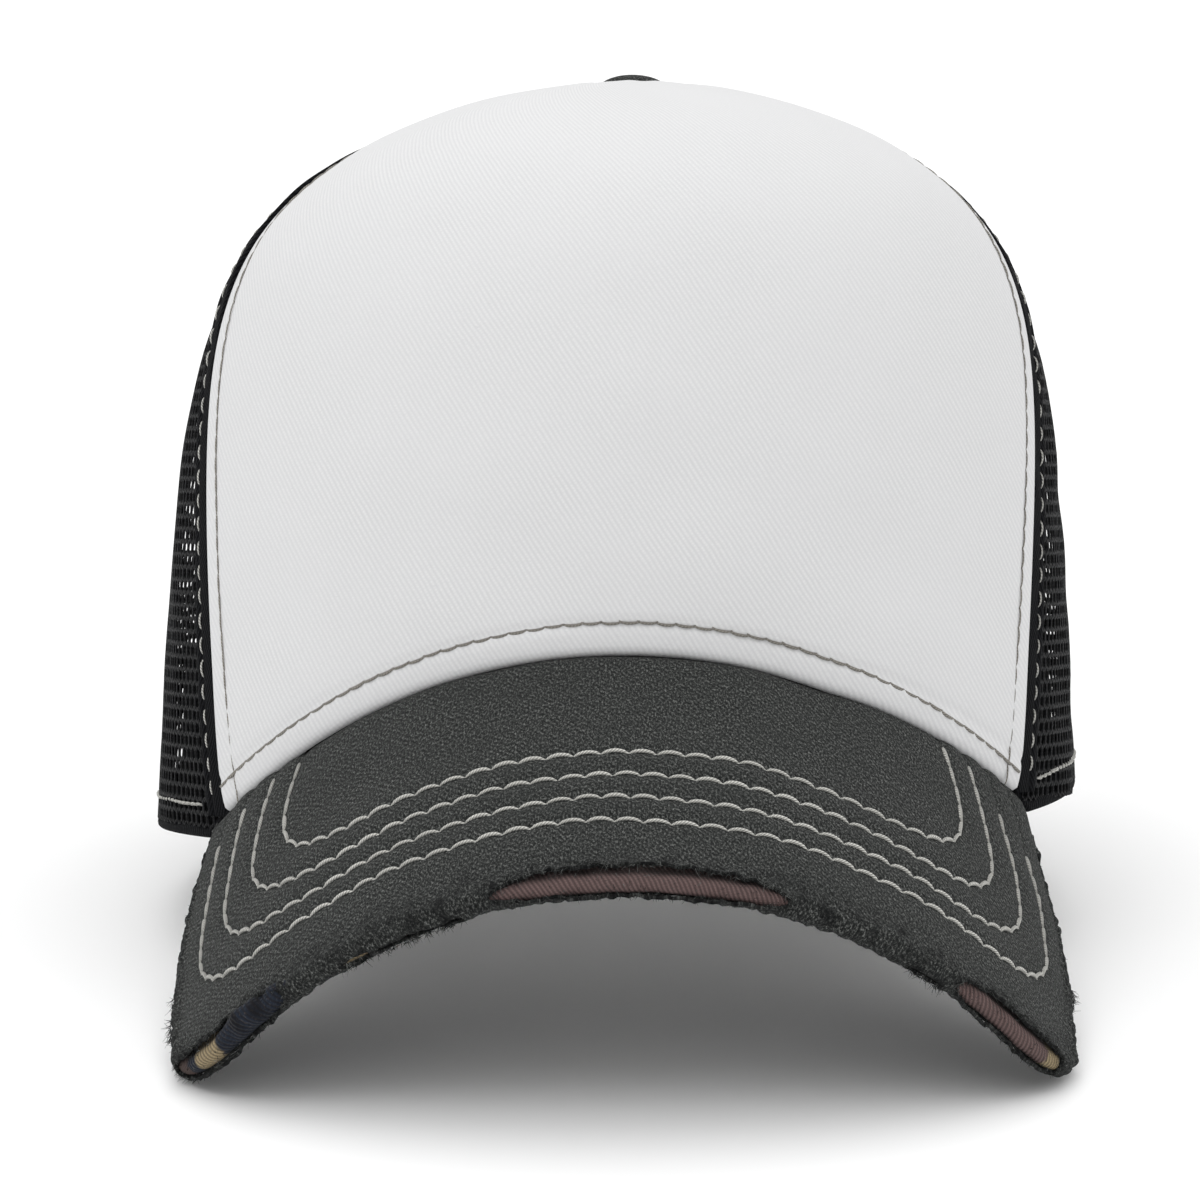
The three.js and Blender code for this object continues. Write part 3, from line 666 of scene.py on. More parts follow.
def add_stitches(name, paths, pitch=4.0, gap=0.9, radius=THREAD_RADIUS, rise=0.25, sink=0.45,
                 scallop=0.12, material="thread", body="root", seed=1):
    """Rows of single stitches. Each path is (points, outward), finely spaced along one row."""
    rng = np.random.default_rng(seed)
    points, cloths, places, faces = [], [], [], []
    ring_faces = grid_faces(STITCH_RINGS, STITCH_SIDES, wrap=True)
    share = np.linspace(0, 1, STITCH_RINGS)
    around = np.linspace(0, 2 * math.pi, STITCH_SIDES, endpoint=False)
    ends = [[STITCH_SIDES - 1 - i for i in range(STITCH_SIDES)],
            [(STITCH_RINGS - 1) * STITCH_SIDES + i for i in range(STITCH_SIDES)]]
    caps = []
    for line, outward in paths:
        length = path_length(line)
        count = max(1, int(round(length[-1] / pitch)))
        step = length[-1] / count
        for number in range(count):
            start = number * step + gap / 2 + rng.uniform(-0.12, 0.12)
            travel = start + (step - gap) * share
            middle = np.stack([np.interp(travel, length, line[:, k]) for k in range(3)], -1)
            up = unit(np.stack([np.interp(travel, length, outward[:, k]) for k in range(3)], -1))
            ahead = unit(np.gradient(middle, axis=0))
            sideways = np.cross(ahead, up)
            arch = np.sin(math.pi * share) ** 0.55
            lift = (-sink + (sink + rise) * arch)[:, None]
            swing = (rng.uniform(-0.08, 0.08) + scallop * (arch - 0.5))[:, None]
            middle = middle + up * lift + sideways * swing
            thick = radius * (0.72 + 0.28 * np.sin(math.pi * share)) * rng.uniform(0.9, 1.1)
            ring = (up[:, None] * np.cos(around)[None, :, None]
                    + sideways[:, None] * np.sin(around)[None, :, None])
            base = len(points) * STITCH_RINGS * STITCH_SIDES
            points.append((middle[:, None] + ring * thick[:, None, None]).reshape(-1, 3))
            along = np.broadcast_to(travel[:, None], (STITCH_RINGS, STITCH_SIDES))
            turn = np.broadcast_to(around[None] * radius, (STITCH_RINGS, STITCH_SIDES))
            cloths.append(np.stack([along, turn], -1).reshape(-1, 2))
            places.append(np.broadcast_to(middle[:1], (STITCH_RINGS * STITCH_SIDES, 3)))
            faces.append(ring_faces + base)
            caps += [[base + i for i in end] for end in ends]
    all_faces = np.concatenate(faces).tolist() + caps
    mesh_points = np.concatenate(points)
    return add_many(name, mesh_points, all_faces, "thread", body, material,
                    np.concatenate(cloths), {"place": np.concatenate(places)})


def add_many(name, points, faces, slot, body, material, cloth, extra):
    """As add_piece, for a list of faces of different sizes, kept exactly as they are."""
    return add_piece(name, points, faces, slot, body, material, cloth, extra, validate=False)


def crown_row(angle, level, depth=0.0):
    """A stitch row on the crown: its points and the directions out of the cloth."""
    return crown_point(angle, level, depth), crown_outward(angle, level)


# --- Front panel -------------------------------------------------------------------------------

PANEL_THICKNESS = 0.7
PANEL_STAND = 0.3  # the panel's folded edges lie over the seam strips
EDGE_STITCH = 6
SEAM_STITCH = 5.8
LIFT_LEFT_OUT = 0.45  # share of the rim's lift that the row above the visor seam doesn't follow


def closer_at_ends(evenness, steps):
    """Shares from 0 to 1, closer together at both ends; with an evenness of 1 they are even."""
    share = np.linspace(0, 1, steps)
    return evenness * share + (1 - evenness) * (1 - np.cos(math.pi * share)) / 2


def front_panel():
    rows, columns = 190, 220
    across = closer_at_ends(0.6, columns)[None, :] * 2 - 1
    low = edge_level(across[0] * front_seam(0.15))
    for _ in range(6):
        low = edge_level(across[0] * front_seam(low))
    level = climb(low, rows)
    angle = across * front_seam(level)
    surface = crown_surface(angle, level)
    outward = crown_outward(angle, level)
    from_side = np.linalg.norm(surface - crown_surface(np.sign(across) * front_seam(level), level), axis=-1)
    from_low = length_at(level) - length_at(low)[None, :]
    off_middle = np.abs(surface[..., 0] - TOP_SHIFT)
    ridge = 0.8 * np.exp(-off_middle / 9) * smooth_step(level, 0.3, 0.8) * smooth_step(level, 0.99, 0.9)
    swell = 0.35 * smooth_step(from_low, 0, 5) * smooth_step(from_low, 30, 5)
    side_fold = 1.3 * (1 - np.minimum(1, from_side / 1.5)) ** 2
    low_fold = 1.1 * (1 - np.minimum(1, from_low / 1.4)) ** 2
    seam_groove = 0.32 * np.exp(-(((from_low - SEAM_STITCH) / 0.8) ** 2))
    side_groove = 0.22 * np.exp(-(((from_side - EDGE_STITCH) / 0.8) ** 2))
    pucker = 0.12 * rough_line(angle[0] * HALF_WIDTH, 2.0, 3)[None, :] * np.exp(-from_low / 5)
    cloth_waves = 0.14 * rough_field(angle * HALF_WIDTH, length_at(level), 16, 5)
    cloth_waves = cloth_waves * smooth_step(from_side, 0, 10)
    stand = PANEL_STAND + ridge + swell + pucker + cloth_waves
    stand = stand - side_fold - low_fold - seam_groove - side_groove
    points = surface + outward * stand[..., None]
    tuck = (low_fold * 0.5)[..., None] * np.array([0, 0, -0.3])
    cloth = np.stack([surface[..., 0] + (angle * HALF_WIDTH - surface[..., 0]) * 0.5, length_at(level)], -1)
    panel = add_sheet("front_panel_cloth", points + tuck, PANEL_THICKNESS, "white_twill", cloth)
    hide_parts("front_panel")
    width = float(path_length(crown_surface(np.linspace(-1, 1, 90) * front_seam(0.3), 0.3))[-1])
    height = float(LADDER_LENGTHS[-1]) - SEAM_TOP
    return panel, (width, height), cut_area(points)


def front_buckram():
    rows, columns = 60, 60
    across = np.linspace(-1, 1, columns)[None, :]
    low = edge_level(across[0] * front_seam(0.15)) + 2 / CROWN_HEIGHT
    level = climb(low, rows)
    angle = across * shift_angle(front_seam(level), level, -1.5)
    points = crown_point(angle, level, 1.3)
    cloth = np.stack([angle * HALF_WIDTH, length_at(level)], -1)
    piece = add_sheet("front_buckram_cloth", points, 0.6, "white_buckram", cloth)
    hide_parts("front_buckram")
    return piece, cut_area(points)


def panel_stitches():
    """The row above the visor seam, and the row inside each side edge."""
    angle = np.linspace(-front_seam(0.05), front_seam(0.05), 500)
    level = level_at(length_at(edge_level(angle)) + SEAM_STITCH - LIFT_LEFT_OUT * rim_lift(angle))
    add_stitches("visor_seam_topstitch", [crown_row(angle, level, -PANEL_STAND - 0.02)],
                 pitch=3.4, gap=-0.35, radius=0.3, rise=0.3, sink=-0.02, scallop=0.35,
                 material="grey_thread", seed=11)
    rows = []
    for side in (-1, 1):
        start = edge_level(np.array([side * front_seam(0.03)]))[0]
        level = level_at(np.linspace(length_at(start) + 1.5, length_at(0.985), 500))
        wander = 0.25 * rough_line(length_at(level), 11, 33 + side)
        angle = side * shift_angle(front_seam(level), level, -EDGE_STITCH + wander)
        rows.append(crown_row(angle, level, -PANEL_STAND + 0.1))
    add_stitches("panel_edge_topstitch", rows, pitch=3.8, gap=-0.2, radius=0.17, rise=0.15, sink=0.05,
                 scallop=0.2, material="grey_thread", seed=12)


# --- Seam strips, tapes and the sweatband ------------------------------------------------------

SIDES = {"left": 1, "right": -1}
STRIP_STITCH = 4.0  # the strips' stitches lie this far behind the seam


def folded_profile(distance, width, depth, fold):
    """Depth of a strip whose two edges curve in by fold, at a distance across its width."""
    near = (1 - np.minimum(1, distance / 1.2)) ** 2
    far = (1 - np.minimum(1, (width - distance) / 1.0)) ** 2
    return depth + fold * (near + far)


def strip_stand(level, side):
    """How far a strip stands out at the shoulder. It is more on the wearer's right."""
    return (0.75 - 0.25 * side) * smooth_step(level, 0.55, 0.78) * smooth_step(level, 0.95, 0.88)


def seam_strips():
    """The twill strips over the front panel's side seams, each with a row of stitches."""
    rows = []
    for name, side in SIDES.items():
        start = float(edge_level(np.array([side * (FRONT_SEAM_RIM + 0.03)]))[0])
        angle, level, cloth = crown_strip(front_seam, side, start, TOP_LEVEL, -1.6, STRIP_WIDTH, 16, 240)
        offset = cloth[..., 0]
        depth = folded_profile(offset + 1.6, STRIP_WIDTH + 1.6, -0.1, 0.8)
        depth = depth + 0.12 * rough_field(cloth[..., 1], offset, 5, 21 + side)
        depth = depth + 0.3 * np.exp(-(((offset - STRIP_STITCH) / 0.6) ** 2))
        depth = depth - strip_stand(level, side)
        points = crown_point(angle, level, depth)
        if side < 0:
            points, cloth = points[:, ::-1], cloth[:, ::-1]
        wear_and_shade = np.exp(-((STRIP_WIDTH - offset) / 0.5)) * 0.6
        wear_and_shade = wear_and_shade if side > 0 else wear_and_shade[:, ::-1]
        strip = add_sheet(f"seam_strip_{name}_twill", points, 0.6, "black_twill", cloth,
                          extra={"wear_and_shade": wear_and_shade})
        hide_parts(f"seam_strip_{name}")
        height = np.linspace(length_at(start) + 3, length_at(0.98), 700)
        row_level = level_at(height)
        row_offset = STRIP_STITCH + 0.25 * rough_line(height, 9, 31 + side)
        row_angle = side * shift_angle(front_seam(row_level), row_level, row_offset, STRIP_WIDEST_ANGLE)
        rows.append(crown_row(row_angle, row_level, -strip_stand(row_level, side)))
    add_stitches("seam_strip_stitches", rows, pitch=4.6, gap=1.1, radius=0.2, rise=0.15, scallop=0.15,
                 seed=13)


def seam_tapes():
    """Flat tapes inside the crown, over the seams."""
    seams = {"front": front_seam, "back": back_seam}
    for seam_name, seam in seams.items():
        for name, side in SIDES.items():
            angle, level, cloth = crown_strip(
                seam, side, 0.09, 0.996, -TAPE_WIDTH / 2, TAPE_WIDTH / 2, 12, 120)
            depth = 2.4 + 0.12 * rough_field(cloth[..., 1], cloth[..., 0], 6, 41 + side)
            depth = depth + (0.3 if seam_name == "back" else 0.0)
            points = crown_point(angle, level, depth)
            if side < 0:
                points, cloth = points[:, ::-1], cloth[:, ::-1]
            tape = add_sheet(f"{seam_name}_seam_tape_{name}_cloth", points, 0.5, "black_cotton", cloth)
            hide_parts(f"{seam_name}_seam_tape_{name}")
    low = (ARCH_STRAIGHT + ARCH_RISE + 6) / CROWN_HEIGHT
    angle, level, cloth = crown_strip(
        lambda level: BACK_MIDDLE + 0 * level, 1, low, 0.996, -TAPE_WIDTH / 2, TAPE_WIDTH / 2, 12, 120)
    points = crown_point(angle, level, 3.1 + 0 * level)
    tape = add_sheet("centre_back_tape_cloth", points, 0.5, "black_cotton", cloth)
    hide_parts("centre_back_tape")


def band_end():
    return math.pi - math.asin((ARCH_HALF_WIDTH + BAND_END_GAP) / HALF_WIDTH)


def sweatband():
    """A folded cotton band with a rolled lower edge, slightly gathered where it is sewn in."""
    columns, rows = 420, 40
    angle = np.linspace(-band_end(), band_end(), columns)[None, :]
    low = edge_level(angle[0])[None, :]
    height = np.linspace(0, BAND_HEIGHT, rows)[:, None]
    level = low + (BAND_LIFT + height) / CROWN_HEIGHT
    folds = 0.35 * rough_field(angle * HALF_WIDTH, height * 0.2, 7, 51)
    roll = 1.4 * (1 - np.minimum(1, height / 2.0)) ** 2
    hem = 0.5 * np.exp(-(((height - BAND_HEIGHT + 4) / 0.8) ** 2))
    depth = 4.7 + folds * smooth_step(height, 0, 12) - roll + hem + 0 * angle
    points = crown_point(angle, level, depth)
    cloth = np.stack(np.broadcast_arrays(angle * HALF_WIDTH, height), -1)
    band = add_sheet("sweatband_cotton", points, 1.1, "black_cotton", cloth)
    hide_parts("sweatband")
    row_angle = np.linspace(-band_end() + 0.02, band_end() - 0.02, 900)
    row_level = edge_level(row_angle) + (BAND_LIFT + BAND_HEIGHT - 4) / CROWN_HEIGHT
    inside = (crown_point(row_angle, row_level, 5.8), -crown_outward(row_angle, row_level))
    add_stitches("sweatband_stitches", [inside], pitch=3.2, material="grey_thread", seed=14)
    width = float(path_length(points[0])[-1])
    return band, (width * MM, BAND_HEIGHT * MM)


# --- Mesh panels -------------------------------------------------------------------------------

HOLE_PITCH = 2.8
CELL = HOLE_PITCH / math.sqrt(3)  # radius of a six-sided cell
NET_OUTER = 0.5  # depths of the strands' outer and inner crests
NET_INNER = 1.0
HOLE_SHARE = 0.57
SHOULDER_SHARE = 0.82


class FlatPanel:
    """Flat cloth coordinates for one part of the crown: across from a middle line, and along up."""

    def __init__(self, middle, reach):
        self.along = np.arange(-2, LADDER_LENGTHS[-1] + 1, 1.0)
        self.across = np.arange(-reach, reach + 1, 1.0)
        self.levels = level_at(self.along)
        self.table = np.zeros((len(self.along), len(self.across)))
        span = np.linspace(-1.3, 1.3, 700)
        for row, level in enumerate(self.levels):
            angles = middle(level) + span
            travel = path_length(crown_surface(angles, level))
            travel -= np.interp(middle(level), angles, travel)
            self.table[row] = np.interp(self.across, travel, angles)

    def angle_and_level(self, across, along):
        row = np.clip(along - self.along[0], 0, len(self.along) - 1.001)
        column = np.clip(across - self.across[0], 0, len(self.across) - 1.001)
        r, c = row.astype(int), column.astype(int)
        fr, fc = row - r, column - c
        low = self.table[r, c] * (1 - fc) + self.table[r, c + 1] * fc
        high = self.table[r + 1, c] * (1 - fc) + self.table[r + 1, c + 1] * fc
        return low * (1 - fr) + high * fr, np.interp(along, self.along, self.levels)


def arch_clearance(points):
    """Distance outside the back opening's outline, in the plane seen from behind."""
    x, z = np.abs(points[..., 0]), points[..., 2]
    over = np.hypot(x / ARCH_HALF_WIDTH, np.maximum(z - ARCH_STRAIGHT, 0) / ARCH_RISE) - 1
    clearance = over * (ARCH_HALF_WIDTH + ARCH_RISE) / 2
    return np.where(points[..., 1] > 0, clearance, 1e3)


def net_cells(inside, reach):
    """Six-sided cells as flat centres, for which inside(across, along) holds."""
    rows = np.arange(0, int(LADDER_LENGTHS[-1] / (1.5 * CELL)) + 1)
    columns = np.arange(-int(reach / HOLE_PITCH), int(reach / HOLE_PITCH) + 1)
    row, column = np.meshgrid(rows, columns, indexing="ij")
    across = (column + 0.5 * (row % 2)) * HOLE_PITCH
    along = row * 1.5 * CELL + 0.3
    kept = inside(across, along)
    return across[kept], along[kept]


def net_mesh(across, along):
    """Flat points, depths and faces of the net's strands round each cell's hole."""
    corner = math.pi / 6 + np.arange(6) * math.pi / 3
    ring = np.stack([np.cos(corner), np.sin(corner)], -1) * CELL
    centre = np.stack([across, along], -1)[:, None]
    crest = centre + ring
    keys = np.round(crest.reshape(-1, 2) / (CELL / 8)).astype(int)
    _, first, index = np.unique(keys, axis=0, return_index=True, return_inverse=True)
    shared = crest.reshape(-1, 2)[first]
    index = index.reshape(-1, 6)
    cells, crests = len(across), len(shared)
    shoulder = (centre + ring * SHOULDER_SHARE).reshape(-1, 2)
    hole = (centre + ring * HOLE_SHARE).reshape(-1, 2)
    middle = (NET_OUTER + NET_INNER) / 2
    flat = np.concatenate([shared, shared, shoulder, shoulder, hole])
    depth = np.concatenate([
        np.full(crests, NET_OUTER), np.full(crests, NET_INNER),
        np.full(cells * 6, NET_OUTER + 0.05), np.full(cells * 6, NET_INNER - 0.05),
        np.full(cells * 6, middle)])
    own = np.arange(cells * 6).reshape(-1, 6)
    rings = [index, 2 * crests + own, 2 * crests + 12 * cells + own,
             2 * crests + 6 * cells + own, crests + index]
    faces = []
    for outer, inner in zip(rings, rings[1:]):
        faces.append(np.stack([outer, np.roll(outer, -1, 1), np.roll(inner, -1, 1), inner], -1))
    faces = np.concatenate([face.reshape(-1, 4) for face in faces])
    start, end = index.ravel(), np.roll(index, -1, 1).ravel()
    edge = np.stack([np.minimum(start, end), np.maximum(start, end)], -1)
    _, place, count = np.unique(edge, axis=0, return_inverse=True, return_counts=True)
    lone = count[place.ravel()] == 1
    walls = np.stack([end[lone], start[lone], crests + start[lone], crests + end[lone]], -1)
    return flat, depth, np.concatenate([faces, walls])


def edge_ribbon(side, seam, sign, low, top=0.9985):
    """The turned edge of a mesh panel: a ribbon that curves in at the seam. sign is the side of
    the seam that it lies on."""
    width, columns, steps = 2.6, 7, 200
    if low is None:
        low = float(edge_level(side * seam(0.0)))
    angle, level, cloth = crown_strip(seam, side, low, top, 0, width, columns, steps)
    if sign < 0:
        angle = side * shift_angle(seam(level), level, -cloth[..., 0], STRIP_WIDEST_ANGLE)
    distance = cloth[..., 0]
    outer = NET_OUTER - 0.12 + 1.1 * (1 - np.minimum(1, distance / 1.3)) ** 2
    outer = outer + 0.35 * (1 - np.minimum(1, (width - distance) / 0.6)) ** 2
    inner = np.maximum(outer + 0.35, NET_INNER + 0.1)
    points = [crown_point(angle, level, depth) for depth in (outer, inner)]
    faces = grid_faces(steps, columns)
    count = steps * columns
    inside = faces[:, ::-1] + count
    grid = np.arange(count).reshape(steps, columns)
    rim = np.concatenate([grid[0], grid[1:, -1], grid[-1, -2::-1], grid[-2:0:-1, 0]])
    walls = np.stack([np.roll(rim, -1), rim, rim + count, np.roll(rim, -1) + count], -1)
    cloth = np.concatenate([cloth.reshape(-1, 2)] * 2)
    faces = np.concatenate([faces, inside, walls])
    if side * sign < 0:
        faces = faces[:, ::-1]
    return np.concatenate([p.reshape(-1, 3) for p in points]), faces, cloth


def mesh_panel(name, side, middle, reach, inner, outer, seams):
    """One mesh panel: its net of strands, and a turned edge along each of its seams."""
    flat_panel = FlatPanel(lambda level: side * middle(level), reach)

    def inside(across, along):
        angle, level = flat_panel.angle_and_level(across, along)
        surface = crown_surface(angle, level)
        turned = side * angle
        near = turned > shift_angle(inner(level), level, 0.4)
        far = turned < shift_angle(outer(level), level, -0.4)
        above = along > length_at(edge_level(angle)) + 0.4 * CELL
        below_top = along < LADDER_LENGTHS[-1] - 1.0
        return near & far & above & below_top & (arch_clearance(surface) > 1.0)

    cells = net_cells(inside, reach)
    flat, depth, faces = net_mesh(*cells)
    angle, level = flat_panel.angle_and_level(flat[:, 0], flat[:, 1])
    waves = 0.22 * rough_field(flat[:, 0], flat[:, 1], 13, 61 + side)
    points = crown_point(angle, level, depth + np.maximum(waves, -0.2))
    groups = [(points, faces, flat)]
    for seam, sign, low in seams:
        groups.append(edge_ribbon(side, seam, sign, low))
    base, all_faces = 0, []
    for group_points, group_faces, _ in groups:
        all_faces.append(group_faces + base)
        base += len(group_points)
    panel = add_piece(f"{name}_net", np.concatenate([g[0] for g in groups]),
                      np.concatenate(all_faces), "black_mesh",
                      cloth=np.concatenate([g[2] for g in groups]))
    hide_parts(name)
    cell_area = 1.5 * math.sqrt(3) * CELL**2
    area = len(cells[0]) * cell_area * MM * MM
    wide, long = np.ptp(cells[0]) + 2 * CELL, np.ptp(cells[1]) + 2 * CELL
    return panel, (wide * MM, long * MM), area


def mesh_panels():
    made = []
    for name, side in SIDES.items():
        made.append(mesh_panel(
            f"side_mesh_{name}", side,
            lambda level: (front_seam(level) + back_seam(level)) / 2, 66,
            front_seam, back_seam, [(back_seam, -1, None)]))
        arch_top = (ARCH_STRAIGHT + ARCH_RISE) / CROWN_HEIGHT
        made.append(mesh_panel(
            f"back_mesh_{name}", side,
            lambda level: (back_seam(level) + BACK_MIDDLE) / 2, 56,
            back_seam, lambda level: BACK_MIDDLE + 0 * level,
            [(back_seam, 1, None), (lambda level: BACK_MIDDLE + 0 * level, -1, arch_top)]))
    return made


def back_angle(x, level):
    """Angle at which the back of the crown has this x."""
    angle = np.full(np.broadcast(x, level).shape, math.pi) - 0 * x
    solving_rounds = 8
    for _ in range(solving_rounds):
        here = crown_surface(angle, level)[..., 0]
        slope = (crown_surface(angle + NUDGE, level)[..., 0] - here) / NUDGE
        angle = angle - (here - x) / slope
    return angle


def arch_line(offset, steps):
    """Outline of the back opening, moved out by offset, from one rim end to the other."""
    straight = np.linspace(0, ARCH_STRAIGHT, steps // 5)[:-1]
    turn = np.linspace(0, math.pi, steps)
    wide, rise = ARCH_HALF_WIDTH + offset, ARCH_RISE + offset
    x = np.concatenate([0 * straight + wide, wide * np.cos(turn), 0 * straight - wide])
    z = np.concatenate([straight, ARCH_STRAIGHT + rise * np.sin(turn), straight[::-1]])
    return x, z


def arch_row(offset, depth, steps=240):
    x, z = arch_line(offset, steps)
    level = z / CROWN_HEIGHT
    return crown_row(back_angle(x, level), level, depth)


def arch_binding():
    """A twill tape folded over the edge of the back opening."""
    turn = np.linspace(0, math.pi, 9)
    fold = 1.3
    legs = [(BINDING_WIDTH, 0.45), (BINDING_WIDTH - 0.5, 0.2), (6, 0.2), (3.5, 0.15), (1.5, 0.2)]
    section = legs + [(1.0 - fold * math.sin(t), 0.2 + fold * (1 - math.cos(t))) for t in turn]
    section += [(offset, 2 * fold + 0.4 - depth) for offset, depth in reversed(legs)]
    steps = 200
    lines = []
    for offset, depth in section:
        x, z = arch_line(offset - 0.6, steps)
        level = z / CROWN_HEIGHT
        ripple = 0.1 * rough_line(np.arange(len(x)) * 0.6, 4, 71 + len(lines))
        lines.append(crown_point(back_angle(x, level), level, depth + ripple))
    points = np.stack(lines)[::-1]
    along = path_length(points[-6])
    across = path_length(np.array([(o, d, 0.0) for o, d in section]))
    cloth = np.stack(np.meshgrid(along, across), -1)
    binding = add_sheet("arch_binding_twill", points, 0.55, "black_twill", cloth)
    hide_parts("arch_binding")
    add_stitches("arch_binding_stitches", [arch_row(BINDING_WIDTH - 2.2, 0.1)], pitch=3.4,
                 radius=0.26, seed=15)


def rim_folds():
    """The hem along the lower edge of the mesh, with its row of stitches."""
    rows = []
    for name, side in SIDES.items():
        start = FRONT_SEAM_RIM + 0.01
        end = math.pi - math.asin((ARCH_HALF_WIDTH + BINDING_WIDTH - 1) / HALF_WIDTH)
        turn = np.linspace(0, math.pi, 7)
        outer_leg = [(1.6, 0.9), (1.2, 0.68), (0.6, 0.62)]
        section = outer_leg + [(0.3 - 0.95 * math.sin(t), 0.6 + 0.95 * (1 - math.cos(t))) for t in turn]
        section += [(3.0, 2.5), (9.0, 2.5)]
        angle = np.linspace(start, end, 300)[None, :] * side
        height = np.array([h for h, _ in section])[:, None]
        depth = np.array([d for _, d in section])[:, None]
        low = edge_level(angle[0])[None, :]
        level = low + height / CROWN_HEIGHT
        positive = np.maximum(level, low)
        points = crown_point(angle, positive, depth)
        points[..., 2] += np.minimum(0, height)
        cloth = np.stack(np.broadcast_arrays(angle * HALF_WIDTH, height - depth), -1)
        if side > 0:
            points, cloth = points[::-1], cloth[::-1]
        hem = add_sheet(f"rim_tape_{name}_cloth", points, 0.4, "black_cotton", cloth)
        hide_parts(f"rim_tape_{name}")
        row_angle = np.linspace(start + 0.13, end, 900) * side
        row_height = 5.5 + 0.35 * rough_line(row_angle * HALF_WIDTH, 12, 81 + side)
        row_level = edge_level(row_angle) + row_height / CROWN_HEIGHT
        rows.append(crown_row(row_angle, row_level, 0.65))
    add_stitches("rim_stitches", rows, pitch=2.6, gap=0.3, radius=0.34, scallop=0.25, seed=16)


# --- Visor surface -----------------------------------------------------------------------------

# A point of the visor is given by its place, the distance along the visor's outline from the
# middle of the front, and by its reach, the distance across the visor: below 0 on top of the board,
# then round its rolled edge, and then back along its underside. lift is the height above the cover.
ROLL = VISOR_THICKNESS / 2
SEAM_TUCK = 1.3
TUCK_DROP = 0.9
ROW_COUNT = 4
ROW_FRONT, ROW_FRONT_STEP = 17.5, 6.8  # the outermost row's distance from the front edge
ROW_SIDE, ROW_SIDE_STEP = 9.0, 6.5
ROW_CORNER = 3.2
SIDE_EASE = 1.1  # the covers' rolled side edges stand this much outside the board's

seam_middle = crown_surface(0, SEAM_TOP / CROWN_HEIGHT)
front_radius = (VISOR_FLAT_HALF**2 + VISOR_FRONT_SAG**2) / (2 * VISOR_FRONT_SAG)


def board_point(along, forward):
    """The board bends over an oval arch that slopes down and flattens towards the front."""
    angle = along / OVAL_WIDE
    drop = (OVAL_DEEP - OVAL_FLATTEN * forward) * (1 - np.cos(angle))
    return np.stack([
        OVAL_WIDE * np.sin(angle),
        seam_middle[1] - forward * math.cos(VISOR_SLOPE) + drop * math.sin(VISOR_SLOPE),
        seam_middle[2] - forward * math.sin(VISOR_SLOPE) - drop * math.cos(VISOR_SLOPE),
    ], -1)


def board_up(along, forward):
    around = board_point(along + NUDGE, forward) - board_point(along - NUDGE, forward)
    ahead = board_point(along, forward + NUDGE) - board_point(along, forward - NUDGE)
    return unit(np.cross(ahead, around))


def flat_seam(across):
    """The crown's front edge laid on the flat board, and how far the sewn board is off it."""
    angle = across * VISOR_END
    point = crown_surface(angle, edge_level(angle))
    offset = point - seam_middle
    forward = -(offset[..., 1] * math.cos(VISOR_SLOPE) + offset[..., 2] * math.sin(VISOR_SLOPE))
    along = OVAL_WIDE * np.arcsin(point[..., 0] / OVAL_WIDE)
    return np.stack([along, forward], -1), point - board_point(along, forward)


def flat_half_outline(steps=1200):
    """Half of the flat board's outline: the front arc, the round corner, then the side."""
    corner_along = VISOR_FLAT_HALF - VISOR_CORNER
    inner_radius = front_radius - VISOR_CORNER
    turn = math.asin(corner_along / inner_radius)
    corner_forward = VISOR_LENGTH - front_radius + math.sqrt(inner_radius**2 - corner_along**2)
    arc = np.linspace(0, turn, steps)
    bend = np.linspace(turn, math.pi / 2, steps)[1:]
    front = np.stack([front_radius * np.sin(arc), VISOR_LENGTH - front_radius * (1 - np.cos(arc))], -1)
    corner = np.stack([corner_along + VISOR_CORNER * np.sin(bend),
                       corner_forward + VISOR_CORNER * np.cos(bend)], -1)
    start = flat_seam(np.array([1.0]))[0][0]
    share = np.linspace(1, 0, steps)[1:]
    eased = SIDE_EASE * smooth_step(share, 0.0, 0.15) * smooth_step(share, 1.0, 0.6)
    side = np.stack([start[0] + (corner[-1, 0] - start[0]) * (1 - (1 - share) ** VISOR_FLARE) + eased,
                     start[1] + (corner[-1, 1] - start[1]) * share], -1)
    return np.concatenate([front, corner, side])


HALF_OUTLINE = flat_half_outline()
OUTLINE_PLACES = path_length(HALF_OUTLINE)
OUTLINE_END = OUTLINE_PLACES[-1]
OUTLINE_OUT = unit(np.stack([-np.gradient(HALF_OUTLINE[:, 1]), np.gradient(HALF_OUTLINE[:, 0])], -1))


def outline_at(place):
    """The flat outline's point at a place, and its direction out of the board."""
    side = np.where(place < 0, -1.0, 1.0)
    values = [np.interp(np.abs(place), OUTLINE_PLACES, column)
              for column in (*HALF_OUTLINE.T, *OUTLINE_OUT.T)]
    return (np.stack([side * values[0], values[1]], -1),
            unit(np.stack([side * values[2], values[3]], -1)))


